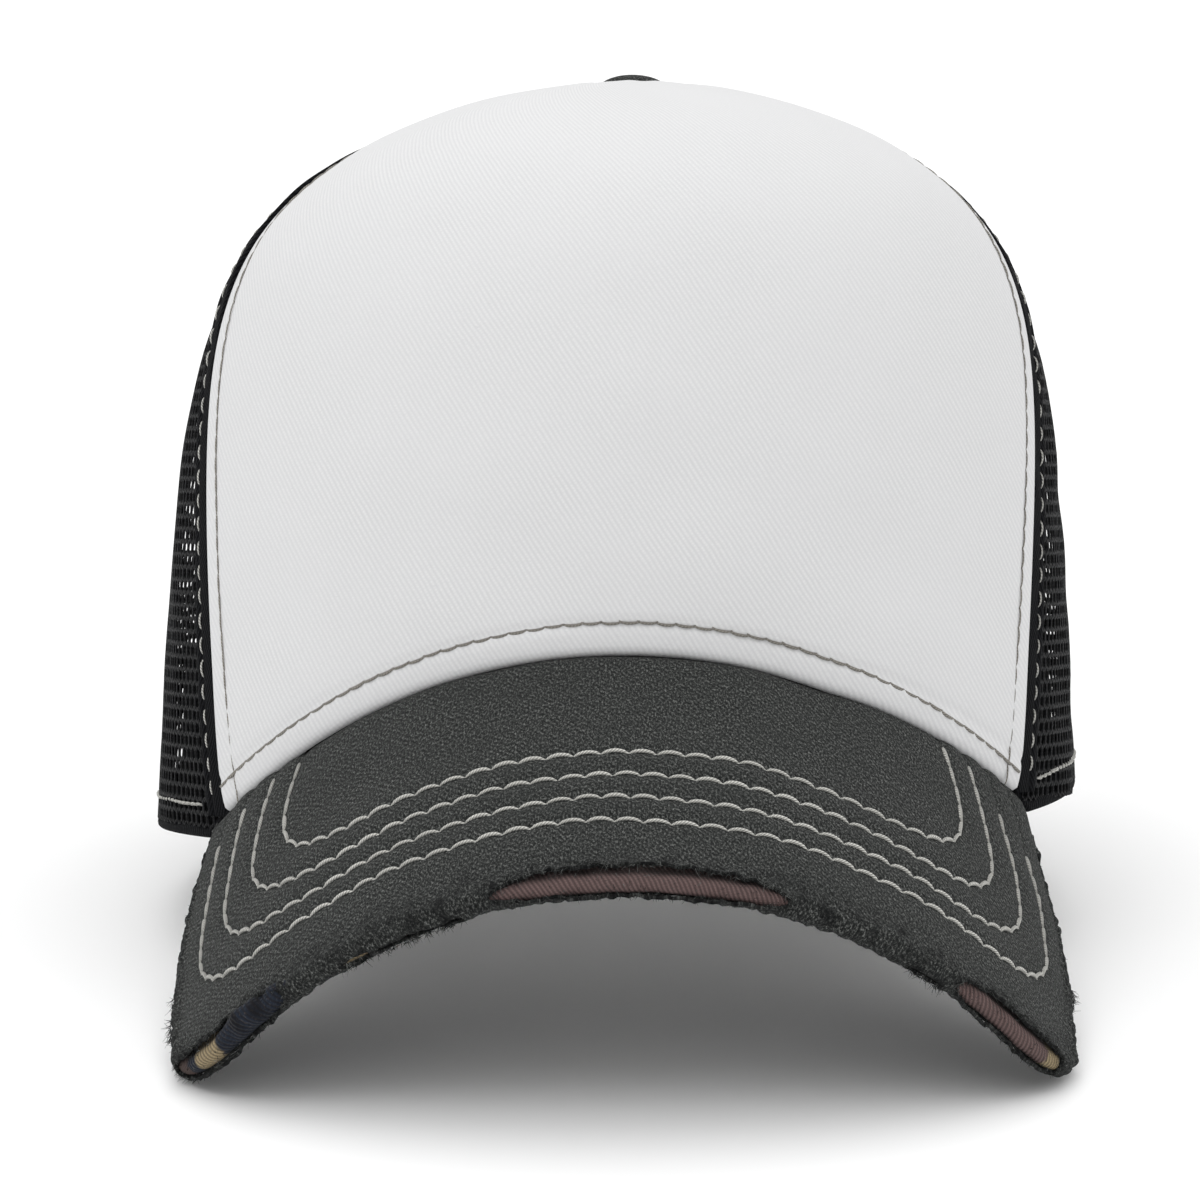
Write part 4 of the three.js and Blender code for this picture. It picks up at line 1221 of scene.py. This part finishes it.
class VisorColumns:
    """What every point at the same place shares."""

    def __init__(self, place):
        share = np.abs(place) / OUTLINE_END
        across = np.sign(place) * (1 - (1 - share) ** 1.67)
        self.place = place
        self.foot, self.fit = flat_seam(across)
        self.rim, self.out = outline_at(place)
        self.roll = np.minimum(ROLL, 0.35 * np.linalg.norm(self.rim - self.foot, axis=-1) + 0.3)
        self.inset = self.rim - self.out * self.roll[..., None]
        self.foot = self.foot - (self.inset - self.foot) * (
            SEAM_TUCK / np.linalg.norm(self.inset - self.foot, axis=-1))[..., None]
        self.width = np.linalg.norm(self.inset - self.foot, axis=-1)

    def flat(self, reach):
        """Flat board point at a reach of 0 or less, and its share of the way from the seam."""
        share = np.clip(1 + reach / self.width, 0, 1)
        return self.foot + (self.inset - self.foot) * share[..., None], share

    def top(self, reach):
        flat, share = self.flat(reach)
        point = board_point(flat[..., 0], flat[..., 1]) + self.fit * ((1 - share) ** 2)[..., None]
        return point, board_up(flat[..., 0], flat[..., 1]), flat

    def point(self, reach, lift):
        """The point, the direction out of the cloth there, and the flat board point under it."""
        lift = lift * self.roll / ROLL
        half_turn = math.pi * self.roll
        on_board = np.where(reach < half_turn / 2, np.minimum(reach, 0),
                            -np.maximum(reach - half_turn, 0))
        point, up, flat = self.top(on_board)
        beyond = flat + self.out * 0.1
        rimward = unit(board_point(beyond[..., 0], beyond[..., 1])
                       - board_point(flat[..., 0], flat[..., 1]))
        turn = np.clip(reach / self.roll, 0, math.pi)[..., None]
        outward = rimward * np.sin(turn) + up * np.cos(turn)
        centre = point - up * self.roll[..., None]
        drop = TUCK_DROP * (1 - np.minimum(1, (self.width + on_board) / 3.5)) ** 2
        sunk = np.where(reach < half_turn / 2, drop, 0)[..., None] * up
        return centre + outward * (self.roll + lift)[..., None] - sunk, outward, flat


def columns_of(place, rows):
    """Columns for a grid of so many rows."""
    return VisorColumns(np.broadcast_to(place, (rows, len(place))))


def stitch_field(flat):
    """How many stitch rows a flat board point lies in from the outermost row."""
    along, forward = np.abs(flat[..., 0]), flat[..., 1]
    front = VISOR_LENGTH - front_radius * (1 - np.sqrt(1 - (along / front_radius) ** 2))
    sides = HALF_OUTLINE[::-1]
    side = np.interp(forward, np.maximum.accumulate(sides[:1199, 1]), sides[:1199, 0])
    from_front = (front - forward - ROW_FRONT) / ROW_FRONT_STEP
    from_side = (side - along - ROW_SIDE) / ROW_SIDE_STEP
    overlap = np.maximum(ROW_CORNER - np.abs(from_front - from_side), 0) / ROW_CORNER
    return np.minimum(from_front, from_side) - overlap**2 * ROW_CORNER / 4


# --- Visor cloth -------------------------------------------------------------------------------

COVER_THICKNESS = 0.6
LINER_LIFT = -0.75
BOARD_LIFT = -1.5
COVER_END = math.radians(150) * ROLL  # the two covers meet here, under the rolled edge
LIP_STRETCH = 6

# Torn places of the edge: middle and half length along the outline, the reach of the middle, how far the
# upper and lower lips open from it, and a seed for their ragged lines
TEARS = [
    (2.3, 26.5, 2.3, 3.7, 2.4, 1),
    (76.5, 14.0, 3.0, 3.6, 2.5, 2),
    (-81.0, 16.0, 2.8, 3.8, 2.8, 3),
    (-38.0, 9.0, 5.1, 0.3, 0.7, 4),
    (-50.5, 3.0, 4.6, 0.6, 0.9, 5),
    (57.0, 4.0, 4.9, 0.4, 0.6, 6),
    (124.0, 3.4, 2.0, 0.8, 0.9, 7),
    (-113.0, 4.2, 2.2, 0.9, 0.8, 8),
    (-124.0, 2.2, 2.4, 0.6, 0.7, 9),
]


def tear_opening(place, tear):
    """How far the tear's upper and lower lips stand open at each place."""
    middle, half, _, above, below, seed = tear
    span = np.sqrt(np.maximum(0, 1 - np.abs((place - middle) / half) ** 3))
    ragged = 0.16 * rough_line(place, 1.3, seed * 7)
    upper = above * span * (1 + ragged + 0.12 * rough_line(place, 4, seed * 7 + 1))
    lower = below * span * (1 + 0.16 * rough_line(place, 1.5, seed * 7 + 2))
    return upper, lower, span


def tear_open(place, reach, tear):
    """Reach after the rows above and below a tear are drawn back, and closeness to its lips."""
    middle, upper_reach = tear[2], tear[2] - LIP_STRETCH
    upper, lower, span = tear_opening(place, tear)
    above = (reach > upper_reach) & (reach <= middle)
    below = reach > middle
    drawn_up = upper_reach + (reach - upper_reach) * (LIP_STRETCH - upper) / LIP_STRETCH
    down_length = COVER_END - middle
    left_below = down_length - np.minimum(lower, down_length * 0.9)
    drawn_down = COVER_END - (COVER_END - reach) * left_below / down_length
    moved = np.where(above, drawn_up, np.where(below, drawn_down, reach))
    lip_distance = np.where(above, middle - upper - moved, np.where(below, moved - middle - lower, 9.0))
    lip_distance = np.where(span > 0, np.maximum(lip_distance, 0), 9.0)
    return moved, lip_distance, span


def cover_relief(place, reach, flat):
    """Small heights of the cover: sewn-in rows, the lumpy beaten edge and soft waves."""
    field = stitch_field(flat)
    nearest = np.clip(np.round(field), 0, ROW_COUNT - 1)
    groove = 0.32 * np.exp(-(((field - nearest) * ROW_FRONT_STEP / 1.1) ** 2))
    groove = np.where(reach < 0, groove, 0)
    quilt = 0.22 * np.abs(np.sin(math.pi * np.clip(field, 0, ROW_COUNT - 1)))
    quilt = np.where(reach < 0, quilt, 0)
    edge = smooth_step(reach, -8, -1)
    lumps = 0.2 * rough_field(place, reach * 0.9, 1.7, 91) * edge
    ribs = 0.1 * rough_field(place * 2.2, reach * 0.7, 2.2, 92) * edge
    waves = 0.2 * rough_field(flat[..., 0], flat[..., 1], 15, 93)
    return quilt - groove + lumps + ribs + waves * (1 - edge)


def cover_rows():
    """Reaches of the cover's rows as shares of the board's width, then round the roll."""
    inner = np.linspace(0, 0.42, 16, endpoint=False)
    outer = np.linspace(0.42, 1, 46, endpoint=False)
    return np.concatenate([inner, outer]), np.linspace(0, COVER_END, 17)


def top_cover():
    shares, rolled = cover_rows()
    place = np.linspace(0.992, -0.992, 500) * OUTLINE_END
    columns = columns_of(place, len(shares) + len(rolled))
    reach = np.concatenate([
        -columns.width[:len(shares)] * (1 - shares[:, None]),
        rolled[:, None] * (columns.roll[:1] / ROLL)])
    keep = np.ones((len(reach) - 1, len(place) - 1), bool)
    nearest, lift = np.full(reach.shape, 9.0), np.zeros(reach.shape)
    for tear in TEARS:
        under = len(shares) + int(np.searchsorted(rolled, tear[2], side="right")) - 1
        upper, lower, _ = tear_opening(place, tear)
        keep[under] &= ~((upper + lower)[:-1] > 0.5)
        reach, lip, span = tear_open(np.broadcast_to(place, reach.shape), reach, tear)
        nearest = np.minimum(nearest, lip)
        curl = 0.75 * min(1.0, tear[3] / 1.9)
        lift = lift + curl * span * np.exp(-lip / 0.8) * (1 + 0.5 * rough_line(place, 1.1, tear[5] + 40))
    _, _, flat = columns.point(reach, 0 * reach)
    relief = cover_relief(columns.place, reach, flat)
    points, _, _ = columns.point(reach, relief + lift)
    cloth = flat + columns.out * np.maximum(reach, 0)[..., None]
    torn = np.exp(-nearest / 0.55) * 0.95
    rubbed = 0.75 * smooth_step(reach, -9, 0) * (0.6 + 0.4 * rough_field(columns.place, reach, 3, 94))
    wear_and_shade = np.clip(torn + rubbed, 0, 1)
    cover = add_sheet("visor_top_cover_twill", points, COVER_THICKNESS, "charcoal_twill", cloth, keep,
                      extra={"wear_and_shade": wear_and_shade})
    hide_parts("visor_top_cover")
    return cover, cut_area(points)


def under_cover():
    place = np.linspace(0.992, -0.992, 320) * OUTLINE_END
    shares = np.linspace(0, 1, 44)
    columns = columns_of(place, len(shares))
    start = COVER_END * columns.roll / ROLL + 0.1
    end = math.pi * columns.roll + columns.width
    reach = start + (end - start) * shares[:, None] ** 1.2
    tucked = -0.35 * np.exp(-(reach - start) / 0.7)
    _, _, flat = columns.point(reach, 0 * reach)
    field = stitch_field(flat)
    nearest = np.clip(np.round(field), 0, ROW_COUNT - 1)
    groove = 0.2 * np.exp(-(((field - nearest) * ROW_FRONT_STEP / 1.1) ** 2))
    ragged = 0.15 * rough_field(columns.place, reach, 2, 95) * np.exp(-(reach - start) / 4)
    points, _, _ = columns.point(reach, tucked - groove + ragged)
    wear_and_shade = np.clip(0.7 * np.exp(-(reach - start) / 1.2), 0, 1)
    cover = add_sheet("visor_under_cover_twill", points, COVER_THICKNESS, "charcoal_twill", flat,
                      extra={"wear_and_shade": wear_and_shade}, material="charcoal_twill")
    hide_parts("visor_under_cover")
    return cover, cut_area(points)


MAUVE = (108, 90, 88)
BROWN = (82, 68, 64)
TAN = (158, 142, 112)
NAVY = (38, 44, 54)
LUMP_PLACE = 72  # a wad of torn liner sticks out here, on the wearer's right
# Which print colour shows where along the outline, up to each place
PRINT_PATCHES = [(-92, BROWN), (-87, NAVY), (-81, TAN), (-60, NAVY), (-49, TAN), (84, MAUVE), (92, TAN)]


def liner():
    """The printed cloth between the cover and the board, which shows where the cover is torn."""
    place = np.linspace(0.99, -0.99, 480) * OUTLINE_END
    reaches = np.linspace(-9, math.radians(168) * ROLL, 26)
    columns = columns_of(place, len(reaches))
    reach = reaches[:, None] * np.minimum(1, columns.roll / ROLL)
    open_share = np.zeros(place.shape)
    for tear in TEARS[:3]:
        open_share = np.maximum(open_share, tear_opening(place, tear)[2])
    bulge = 0.28 * open_share * np.exp(-(((reach - 2.8) / 2.6) ** 2))
    lump = np.exp(-(((columns.place + LUMP_PLACE) / 6.5) ** 2)) * np.exp(-(((reach - 1.2) / 3.0) ** 2))
    bulge = bulge + lump * (2.0 + 0.7 * rough_field(columns.place, reach, 2.2, 98))
    crumple = 0.08 * rough_field(columns.place, reach, 4, 96)
    points, _, _ = columns.point(reach, LINER_LIFT + bulge + crumple)
    cloth = np.stack([columns.place, reach], -1)
    edge = columns.place + 1.2 * rough_field(columns.place, reach, 5, 97)
    tones = np.broadcast_to(np.array(colour(*MAUVE)), points.shape[:2] + (4,)).copy()
    for limit, tone in reversed(PRINT_PATCHES):
        tones[edge < limit] = colour(*tone)
    tones[edge > PRINT_PATCHES[-1][0]] = colour(*BROWN)
    # Painted shadow: a dark band on the liner along the lifted upper lip of each tear, then darker random
    # patches on the torn lump. It goes into the same attribute that holds wear on the other pieces.
    shade = np.clip(1.1 * np.exp(-((reach + 1.0) ** 2) / 1.3), 0, 1) * open_share
    shade = np.maximum(shade, lump * smooth_step(rough_field(columns.place, reach, 2.5, 99), -0.5, 0.8))
    sheet = add_sheet("visor_liner_print", points, 0.4, "camo_twill", cloth,
                      extra={"print_colour": tones, "wear_and_shade": shade})
    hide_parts("visor_liner")


def visor_board():
    """The plastic board inside, with rounded edges."""
    place = np.linspace(-0.985, 0.985, 160) * OUTLINE_END
    turn = np.linspace(0, 1, 9)
    columns = VisorColumns(np.broadcast_to(place[:, None], (len(place), 41)))
    half_turn = math.pi * columns.roll
    inner = columns.width - SEAM_TUCK - 1.2
    over = np.linspace(0, 1, 16)
    reach = np.concatenate([
        -inner[:, :16] * (1 - over), half_turn[:, :9] * turn,
        (half_turn + 0 * inner)[:, :16] + inner[:, :16] * over], 1)
    points, _, _ = columns.point(reach, BOARD_LIFT + 0 * reach)
    loop, count = points.shape[1], points.shape[0]
    faces = grid_faces(count, loop, wrap=True).tolist()
    faces += [list(range(loop)), [(count - 1) * loop + i for i in reversed(range(loop))]]
    flat_faces = [face[::-1] for face in faces]
    mesh_cloth = np.zeros((count * loop, 2))
    board = add_many("visor_board_plastic", points.reshape(-1, 3), flat_faces, "visor_plastic",
                     "root", "visor_plastic", mesh_cloth, {})
    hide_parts("visor_board")


def visor_stitches():
    """Four rows that follow the visor's outline, seen on both covers."""
    place = np.linspace(-0.97, 0.97, 1500) * OUTLINE_END
    shares = np.linspace(0, 1, 120)
    columns = columns_of(place, len(shares))
    flat, _ = columns.flat(-columns.width * (1 - shares[:, None]))
    field = stitch_field(flat)
    single = VisorColumns(place)
    over, under = [], []
    for row in range(ROW_COUNT):
        share = np.array([np.interp(-row, -field[:, i], shares) for i in range(len(place))])
        shown = (field[3] > row) & (share < 0.999) & (share * single.width > 2.2)
        reach = -(single.width * (1 - share))[shown]
        used = VisorColumns(place[shown])
        relief = cover_relief(used.place, reach, used.flat(reach)[0])
        points, outward, _ = used.point(reach, relief)
        over.append((points, outward))
        points, outward, _ = used.point(math.pi * used.roll - reach, -0.15 + 0 * reach)
        under.append((points, outward))
    add_stitches("visor_stitches", over, pitch=4.9, gap=-0.1, radius=0.38, rise=0.32, sink=0.12,
                 scallop=-0.7, seed=17)
    add_stitches("visor_under_stitches", under, pitch=4.8, gap=0.8, radius=0.3, seed=18)


# --- Frayed fibres -----------------------------------------------------------------------------


def add_fibres(name, roots, directions, lengths, radius, material, seed):
    """Loose fibres: thin curved tubes, three-sided, that grow from roots."""
    rng = np.random.default_rng(seed)
    rings, sides = 5, 3
    count = len(roots)
    share = np.linspace(0, 1, rings)
    bend = unit(rng.normal(size=(count, 3))) * rng.uniform(0.3, 1.1, (count, 1))
    travel = lengths[:, None, None] * share[None, :, None]
    curve = directions[:, None] * travel + bend[:, None] * travel * share[None, :, None] * 0.8
    centre = roots[:, None] + curve
    ahead = unit(np.gradient(centre, axis=1))
    side = unit(np.cross(ahead, bend[:, None] + np.array([0.01, 0.02, 0.03])))
    third = np.cross(ahead, side)
    around = np.arange(sides) * 2 * math.pi / sides
    thick = radius * (1 - 0.75 * share)[None, :, None, None]
    ring = side[:, :, None] * np.cos(around)[:, None] + third[:, :, None] * np.sin(around)[:, None]
    points = (centre[:, :, None] + ring * thick).reshape(-1, 3)
    tube = grid_faces(rings, sides, wrap=True)
    offsets = (np.arange(count) * rings * sides)[:, None, None]
    faces = (tube[None] + offsets).reshape(-1, 4).tolist()
    for base in range(0, count * rings * sides, rings * sides):
        faces += [[base + 2, base + 1, base], [base + (rings - 1) * sides + i for i in range(sides)]]
    cloth = np.broadcast_to(roots[:, None, :2], (count, rings * sides, 2)).reshape(-1, 2)
    slot = "thread" if material == "thread" else "charcoal_twill"
    return add_many(name, points, faces, slot, "root", material, cloth, {})


def torn_fibres():
    """Fibres along the lips of each tear, and a light fuzz along the whole beaten edge."""
    rng = np.random.default_rng(101)
    roots, directions, lengths = [], [], []

    def grow(place, reach, lift, into, size):
        columns = VisorColumns(place)
        root, outward, _ = columns.point(reach, lift)
        ahead, _, _ = columns.point(reach + 0.2 * into, lift)
        across = unit(ahead - root)
        swing = unit(rng.normal(size=root.shape))
        roots.append(root)
        directions.append(unit(across * 0.9 + outward * rng.uniform(0.1, 0.7, (len(place), 1)) + swing * 0.7))
        lengths.append(size * rng.uniform(0.4, 1.25, len(place)))

    for tear in TEARS:
        per_lip = int(tear[1] * 2 * 7)
        place = tear[0] + tear[1] * rng.uniform(-1.02, 1.02, per_lip)
        upper, lower, span = tear_opening(place, tear)
        grow(place, tear[2] - upper - 0.15, -0.1 + 0.5 * span, 1.0, 1.3 + 0 * place)
        grow(place, tear[2] + lower + 0.15, -0.1 + 0.4 * span, -1.0, 1.0 + 0 * place)
    edge_count = 1500
    place = rng.uniform(-0.95, 0.95, edge_count) * OUTLINE_END
    grow(place, rng.uniform(-2, COVER_END, edge_count), 0.0 * place - 0.15, 1.0, 0.5 + 0 * place)
    add_fibres("visor_frayed_fibres", np.concatenate(roots), np.concatenate(directions),
               np.concatenate(lengths), 0.075, "charcoal_twill", 102)


# --- Button ------------------------------------------------------------------------------------

BUTTON_RADIUS = 7
BUTTON_HEIGHT = 4.2
BUTTON_LIFT = 0.7


def lathe_piece(name, profile, sides, slot, base, body="root", fluting=None, material=None):
    """A turned piece about +Z, closed on its axis at both ends of its profile."""
    turn = np.linspace(0, 2 * math.pi, sides, endpoint=False)
    radius, height = np.array(profile, float).T
    spread = radius[:, None] + 0 * turn
    if fluting is not None:
        spread = spread + fluting(radius[:, None], turn[None, :])
    x, y = spread * np.cos(turn), spread * np.sin(turn)
    points = np.stack([x, y, height[:, None] + 0 * turn], -1).reshape(-1, 3) + base
    faces = grid_faces(len(radius), sides, wrap=True).tolist()
    faces += [list(reversed(range(sides))), [(len(radius) - 1) * sides + i for i in range(sides)]]
    cloth = np.stack([x, y], -1).reshape(-1, 2) + height.repeat(sides)[:, None] * 0.5
    return add_many(name, points, faces, slot, body, material or slot, cloth, {})


def gathers(radius, turn):
    """Small folds of the cloth where it is drawn in under the button."""
    return 0.09 * np.sin(turn * 17) * smooth_step(radius, 4.5, 7) + 0.05 * np.sin(turn * 5 + 1)


def button():
    """The covered button with its shank and the washer inside the crown."""
    pole = np.array([TOP_SHIFT, TOP_Y, CROWN_HEIGHT - DIMPLE_DEPTH])
    rise = BUTTON_HEIGHT - 1
    dome = [(BUTTON_RADIUS * math.cos(t), 1 + rise * math.sin(t)) for t in np.linspace(0, 1.53, 16)]
    under = [(0.3, 0.35), (4.5, 0.25), (6.1, 0.1), (6.75, 0.35)]
    made = lathe_piece("top_button_twill", under + dome, 96, "charcoal_twill",
                       pole + [0, 0, BUTTON_LIFT], fluting=gathers)
    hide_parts("top_button")
    washer = [(1.8, -3.4), (8.2, -3.4), (8.8, -3.2), (9.0, -2.9), (8.8, -2.6), (8.2, -2.4), (1.8, -2.4)]
    washer = lathe_piece("button_back_fabric", washer, 64, "black_cotton", pole)
    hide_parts("button_back")
    shank = [(0.2, -3.6), (1.4, -3.55), (1.5, -3.4), (1.5, 1.0), (0.2, 1.05)]
    shank = lathe_piece("button_shank_metal", shank, 32, "button_metal", pole)
    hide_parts("button_shank")


# --- Snap closure ------------------------------------------------------------------------------

STRAP_MIDDLE = (STRAP_LOW + STRAP_HIGH) / 2
strap_root = crown_point(math.pi - math.asin(TAB_INNER_X / HALF_WIDTH),
                         STRAP_MIDDLE / CROWN_HEIGHT, TAB_DEPTH)
SNAP_PLACES = [SNAP_FIRST + number * SNAP_PITCH for number in range(SNAP_COUNT)]


def strap_line(x):
    return strap_root[1] + np.sqrt(STRAP_BEND**2 - x**2) - math.sqrt(STRAP_BEND**2 - STRAP_ROOT**2)


def strap_outline_half(x):
    """Half height of a strap at x on its own side, with its rounded tip."""
    corner = np.maximum(0, STRAP_TIP_RADIUS - (x - STRAP_TIP))
    return (STRAP_HIGH - STRAP_LOW) / 2 - (
        STRAP_TIP_RADIUS - np.sqrt(np.maximum(STRAP_TIP_RADIUS**2 - corner**2, 0)))


HOLE_RADIUS = 2.3
HOLE_SIDES = 24


def strap_faces_with_holes(holes):
    """Flat outline faces of one strap: a square ring round each snap, and strips between."""
    points, faces = [], []

    def add(x, z):
        points.append((x, z))
        return len(points) - 1

    outlines = []
    half_cell = SNAP_PITCH / 2
    turn = math.pi / 4 + np.arange(HOLE_SIDES) * 2 * math.pi / HOLE_SIDES
    for middle in SNAP_PLACES:
        direction = np.stack([np.cos(turn), np.sin(turn)], -1)
        square = direction / np.maximum(np.abs(direction).max(1, keepdims=True), 1e-9)
        rings = []
        for radius_share in (0, 0.12, 1.0):
            ring = []
            for unit_round, unit_square in zip(direction, square):
                round_point = unit_round * HOLE_RADIUS
                square_point = unit_square * np.array([half_cell, half_cell])
                mixed = round_point + (square_point - round_point) * radius_share
                ring.append(add(middle + mixed[0], STRAP_MIDDLE + mixed[1]))
            rings.append(ring)
        for inner, outer in zip(rings, rings[1:]):
            for i in range(HOLE_SIDES):
                j = (i + 1) % HOLE_SIDES
                faces.append([inner[i], outer[i], outer[j], inner[j]])
        if not holes:
            centre = add(middle, STRAP_MIDDLE)
            for i in range(HOLE_SIDES):
                faces.append([centre, rings[0][i], rings[0][(i + 1) % HOLE_SIDES]])
        outlines.append(rings[-1])
    xs = sorted({round(points[i][0], 5) for ring in outlines for i in ring
                 if abs(abs(points[i][1] - STRAP_MIDDLE) - half_cell) < 1e-6})
    tip_xs = STRAP_TIP + STRAP_TIP_RADIUS * (1 - np.cos(np.linspace(0, math.pi / 2, 10)))
    root_xs = np.linspace(xs[-1], STRAP_ROOT, 5)[1:]
    for sign in (-1, 1):
        inner = [(x, STRAP_MIDDLE + sign * half_cell) for x in xs]
        outer = [(x, STRAP_MIDDLE + sign * float(strap_outline_half(x))) for x in xs]
        low = [add(*p) for p in inner]
        high = [add(*p) for p in outer]
        for i in range(len(xs) - 1):
            quad = [low[i], low[i + 1], high[i + 1], high[i]]
            faces.append(quad if sign > 0 else quad[::-1])
    zs = np.linspace(-half_cell, half_cell, HOLE_SIDES // 4 + 1)
    root_ladder = np.concatenate([[xs[-1]], root_xs])
    tip_ladder = np.concatenate([tip_xs[tip_xs < xs[0] - 0.01], [xs[0]]])
    for ladder in (root_ladder, tip_ladder):
        rows = []
        for x in ladder:
            half = max(float(strap_outline_half(x)), 0.05)
            heights = np.concatenate([[-half], np.clip(zs, -half * 0.98, half * 0.98), [half]])
            rows.append([add(x, STRAP_MIDDLE + z) for z in heights])
        for first, second in zip(rows, rows[1:]):
            for i in range(len(first) - 1):
                faces.append([first[i], second[i], second[i + 1], first[i + 1]])
    return np.array(points), faces


def merged(points, faces, size=1e-3):
    """Points closer together than size made one."""
    keys = np.round(points / size).astype(int)
    _, first, index = np.unique(keys, axis=0, return_index=True, return_inverse=True)
    index = index.ravel()
    kept = [[int(index[i]) for i in face] for face in faces]
    return points[first], [face for face in kept if len(set(face)) == len(face)]


def strap_solid(side, step, holes):
    """A bent plastic strap: two outline faces with a rounded rim between them."""
    flat, faces = merged(*strap_faces_with_holes(holes))
    count = {}
    for face in faces:
        for start, end in zip(face, face[1:] + face[:1]):
            key = (min(start, end), max(start, end))
            count.setdefault(key, []).append((start, end))
    rims = [pairs[0] for pairs in count.values() if len(pairs) == 1]
    towards = np.zeros_like(flat)
    for start, end in rims:
        run = flat[end] - flat[start]
        normal = np.array([run[1], -run[0]]) / max(np.linalg.norm(run), 1e-9)
        towards[start] += normal
        towards[end] += normal
    towards = unit(towards) * (np.linalg.norm(towards, axis=1, keepdims=True) > 0)
    round_edge = 0.22
    layers = [(-STRAP_THICKNESS / 2, round_edge), (-STRAP_THICKNESS / 2 + round_edge, 0),
              (STRAP_THICKNESS / 2 - round_edge, 0), (STRAP_THICKNESS / 2, round_edge)]
    points = []
    for depth, pull in layers:
        moved = flat - towards * pull
        y = strap_line(moved[:, 0]) + step - depth
        points.append(np.stack([side * moved[:, 0], y, moved[:, 1]], -1))
    size = len(flat)
    solid = [list(face) for face in faces]
    solid += [[i + 3 * size for i in reversed(face)] for face in faces]
    for layer in range(3):
        base = layer * size
        solid += [[end + base, start + base, start + base + size, end + base + size]
                  for start, end in rims]
    used = sorted({i for face in solid for i in face})
    renumber = {old: new for new, old in enumerate(used)}
    solid = [[renumber[i] for i in face] for face in solid]
    if side > 0:
        solid = [face[::-1] for face in solid]
    return np.concatenate(points)[used], solid


def snap_pegs():
    """Mushroom-headed pegs on the inner strap, each through a hole of the outer one."""
    profile = [(0.3, -0.4), (1.7, -0.4), (1.75, 1.9), (2.05, 2.2), (2.15, 2.5), (1.9, 2.85),
               (1.2, 3.1), (0.2, 3.2)]
    sides = 24
    turn = np.linspace(0, 2 * math.pi, sides, endpoint=False)
    points, faces = [], []
    for place in SNAP_PLACES:
        x = -place
        base = len(points) * sides
        for radius, reach in profile:
            y = strap_line(x) - STRAP_STEP + reach
            ring = np.stack([x + radius * np.cos(turn), 0 * turn + y,
                             STRAP_MIDDLE + radius * np.sin(turn)], -1)
            points.append(ring)
        rings = len(profile)
        faces += (grid_faces(rings, sides, wrap=True)[:, ::-1] + base).tolist()
        faces += [[base + i for i in range(sides)],
                  [base + (rings - 1) * sides + i for i in reversed(range(sides))]]
    return np.concatenate(points), faces


def closure():
    points, faces = strap_solid(1, STRAP_STEP, True)
    hole_strap = add_many("hole_strap_plastic", points, faces, "strap_plastic", "hole_strap",
                          "strap_plastic", points[:, [0, 2]], {})
    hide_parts("hole_strap")
    points, faces = strap_solid(-1, -STRAP_STEP, False)
    peg_points, peg_faces = snap_pegs()
    faces += [[i + len(points) for i in face] for face in peg_faces]
    points = np.concatenate([points, peg_points])
    peg_strap = add_many("peg_strap_plastic", points, faces, "strap_plastic", "peg_strap",
                         "strap_plastic", points[:, [0, 2]], {})
    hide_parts("peg_strap")
    for name, side in {"hole_strap_tab": 1, "peg_strap_tab": -1}.items():
        inner = math.pi - math.asin((TAB_INNER_X - 1.6) / HALF_WIDTH)
        outer = math.pi - math.asin(TAB_OUTER_X / HALF_WIDTH)
        angle = side * np.linspace(outer, inner, 30)[None, :]
        height = np.linspace(STRAP_LOW, STRAP_HIGH, 14)[:, None]
        rim = np.minimum(np.minimum(height - STRAP_LOW, STRAP_HIGH - height), 1.0)
        depth = 3.35 + 0.25 * (1 - rim) ** 2 + 0 * angle
        points = crown_point(angle, height / CROWN_HEIGHT + 0 * angle, depth)
        cloth = points[..., [0, 2]]
        if side < 0:
            points, cloth = points[:, ::-1], cloth[:, ::-1]
        tab = add_sheet(f"{name}_plastic", points, 1.0, "strap_plastic", cloth)
        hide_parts(name)


# --- The whole cap -----------------------------------------------------------------------------

panel, panel_flat, panel_area = front_panel()
buckram, buckram_area = front_buckram()
panel_stitches()
seam_strips()
seam_tapes()
band, band_flat = sweatband()
nets = mesh_panels()
arch_binding()
rim_folds()
cover, cover_area = top_cover()
under, under_area = under_cover()
liner()
visor_board()
visor_stitches()
torn_fibres()
button()
closure()
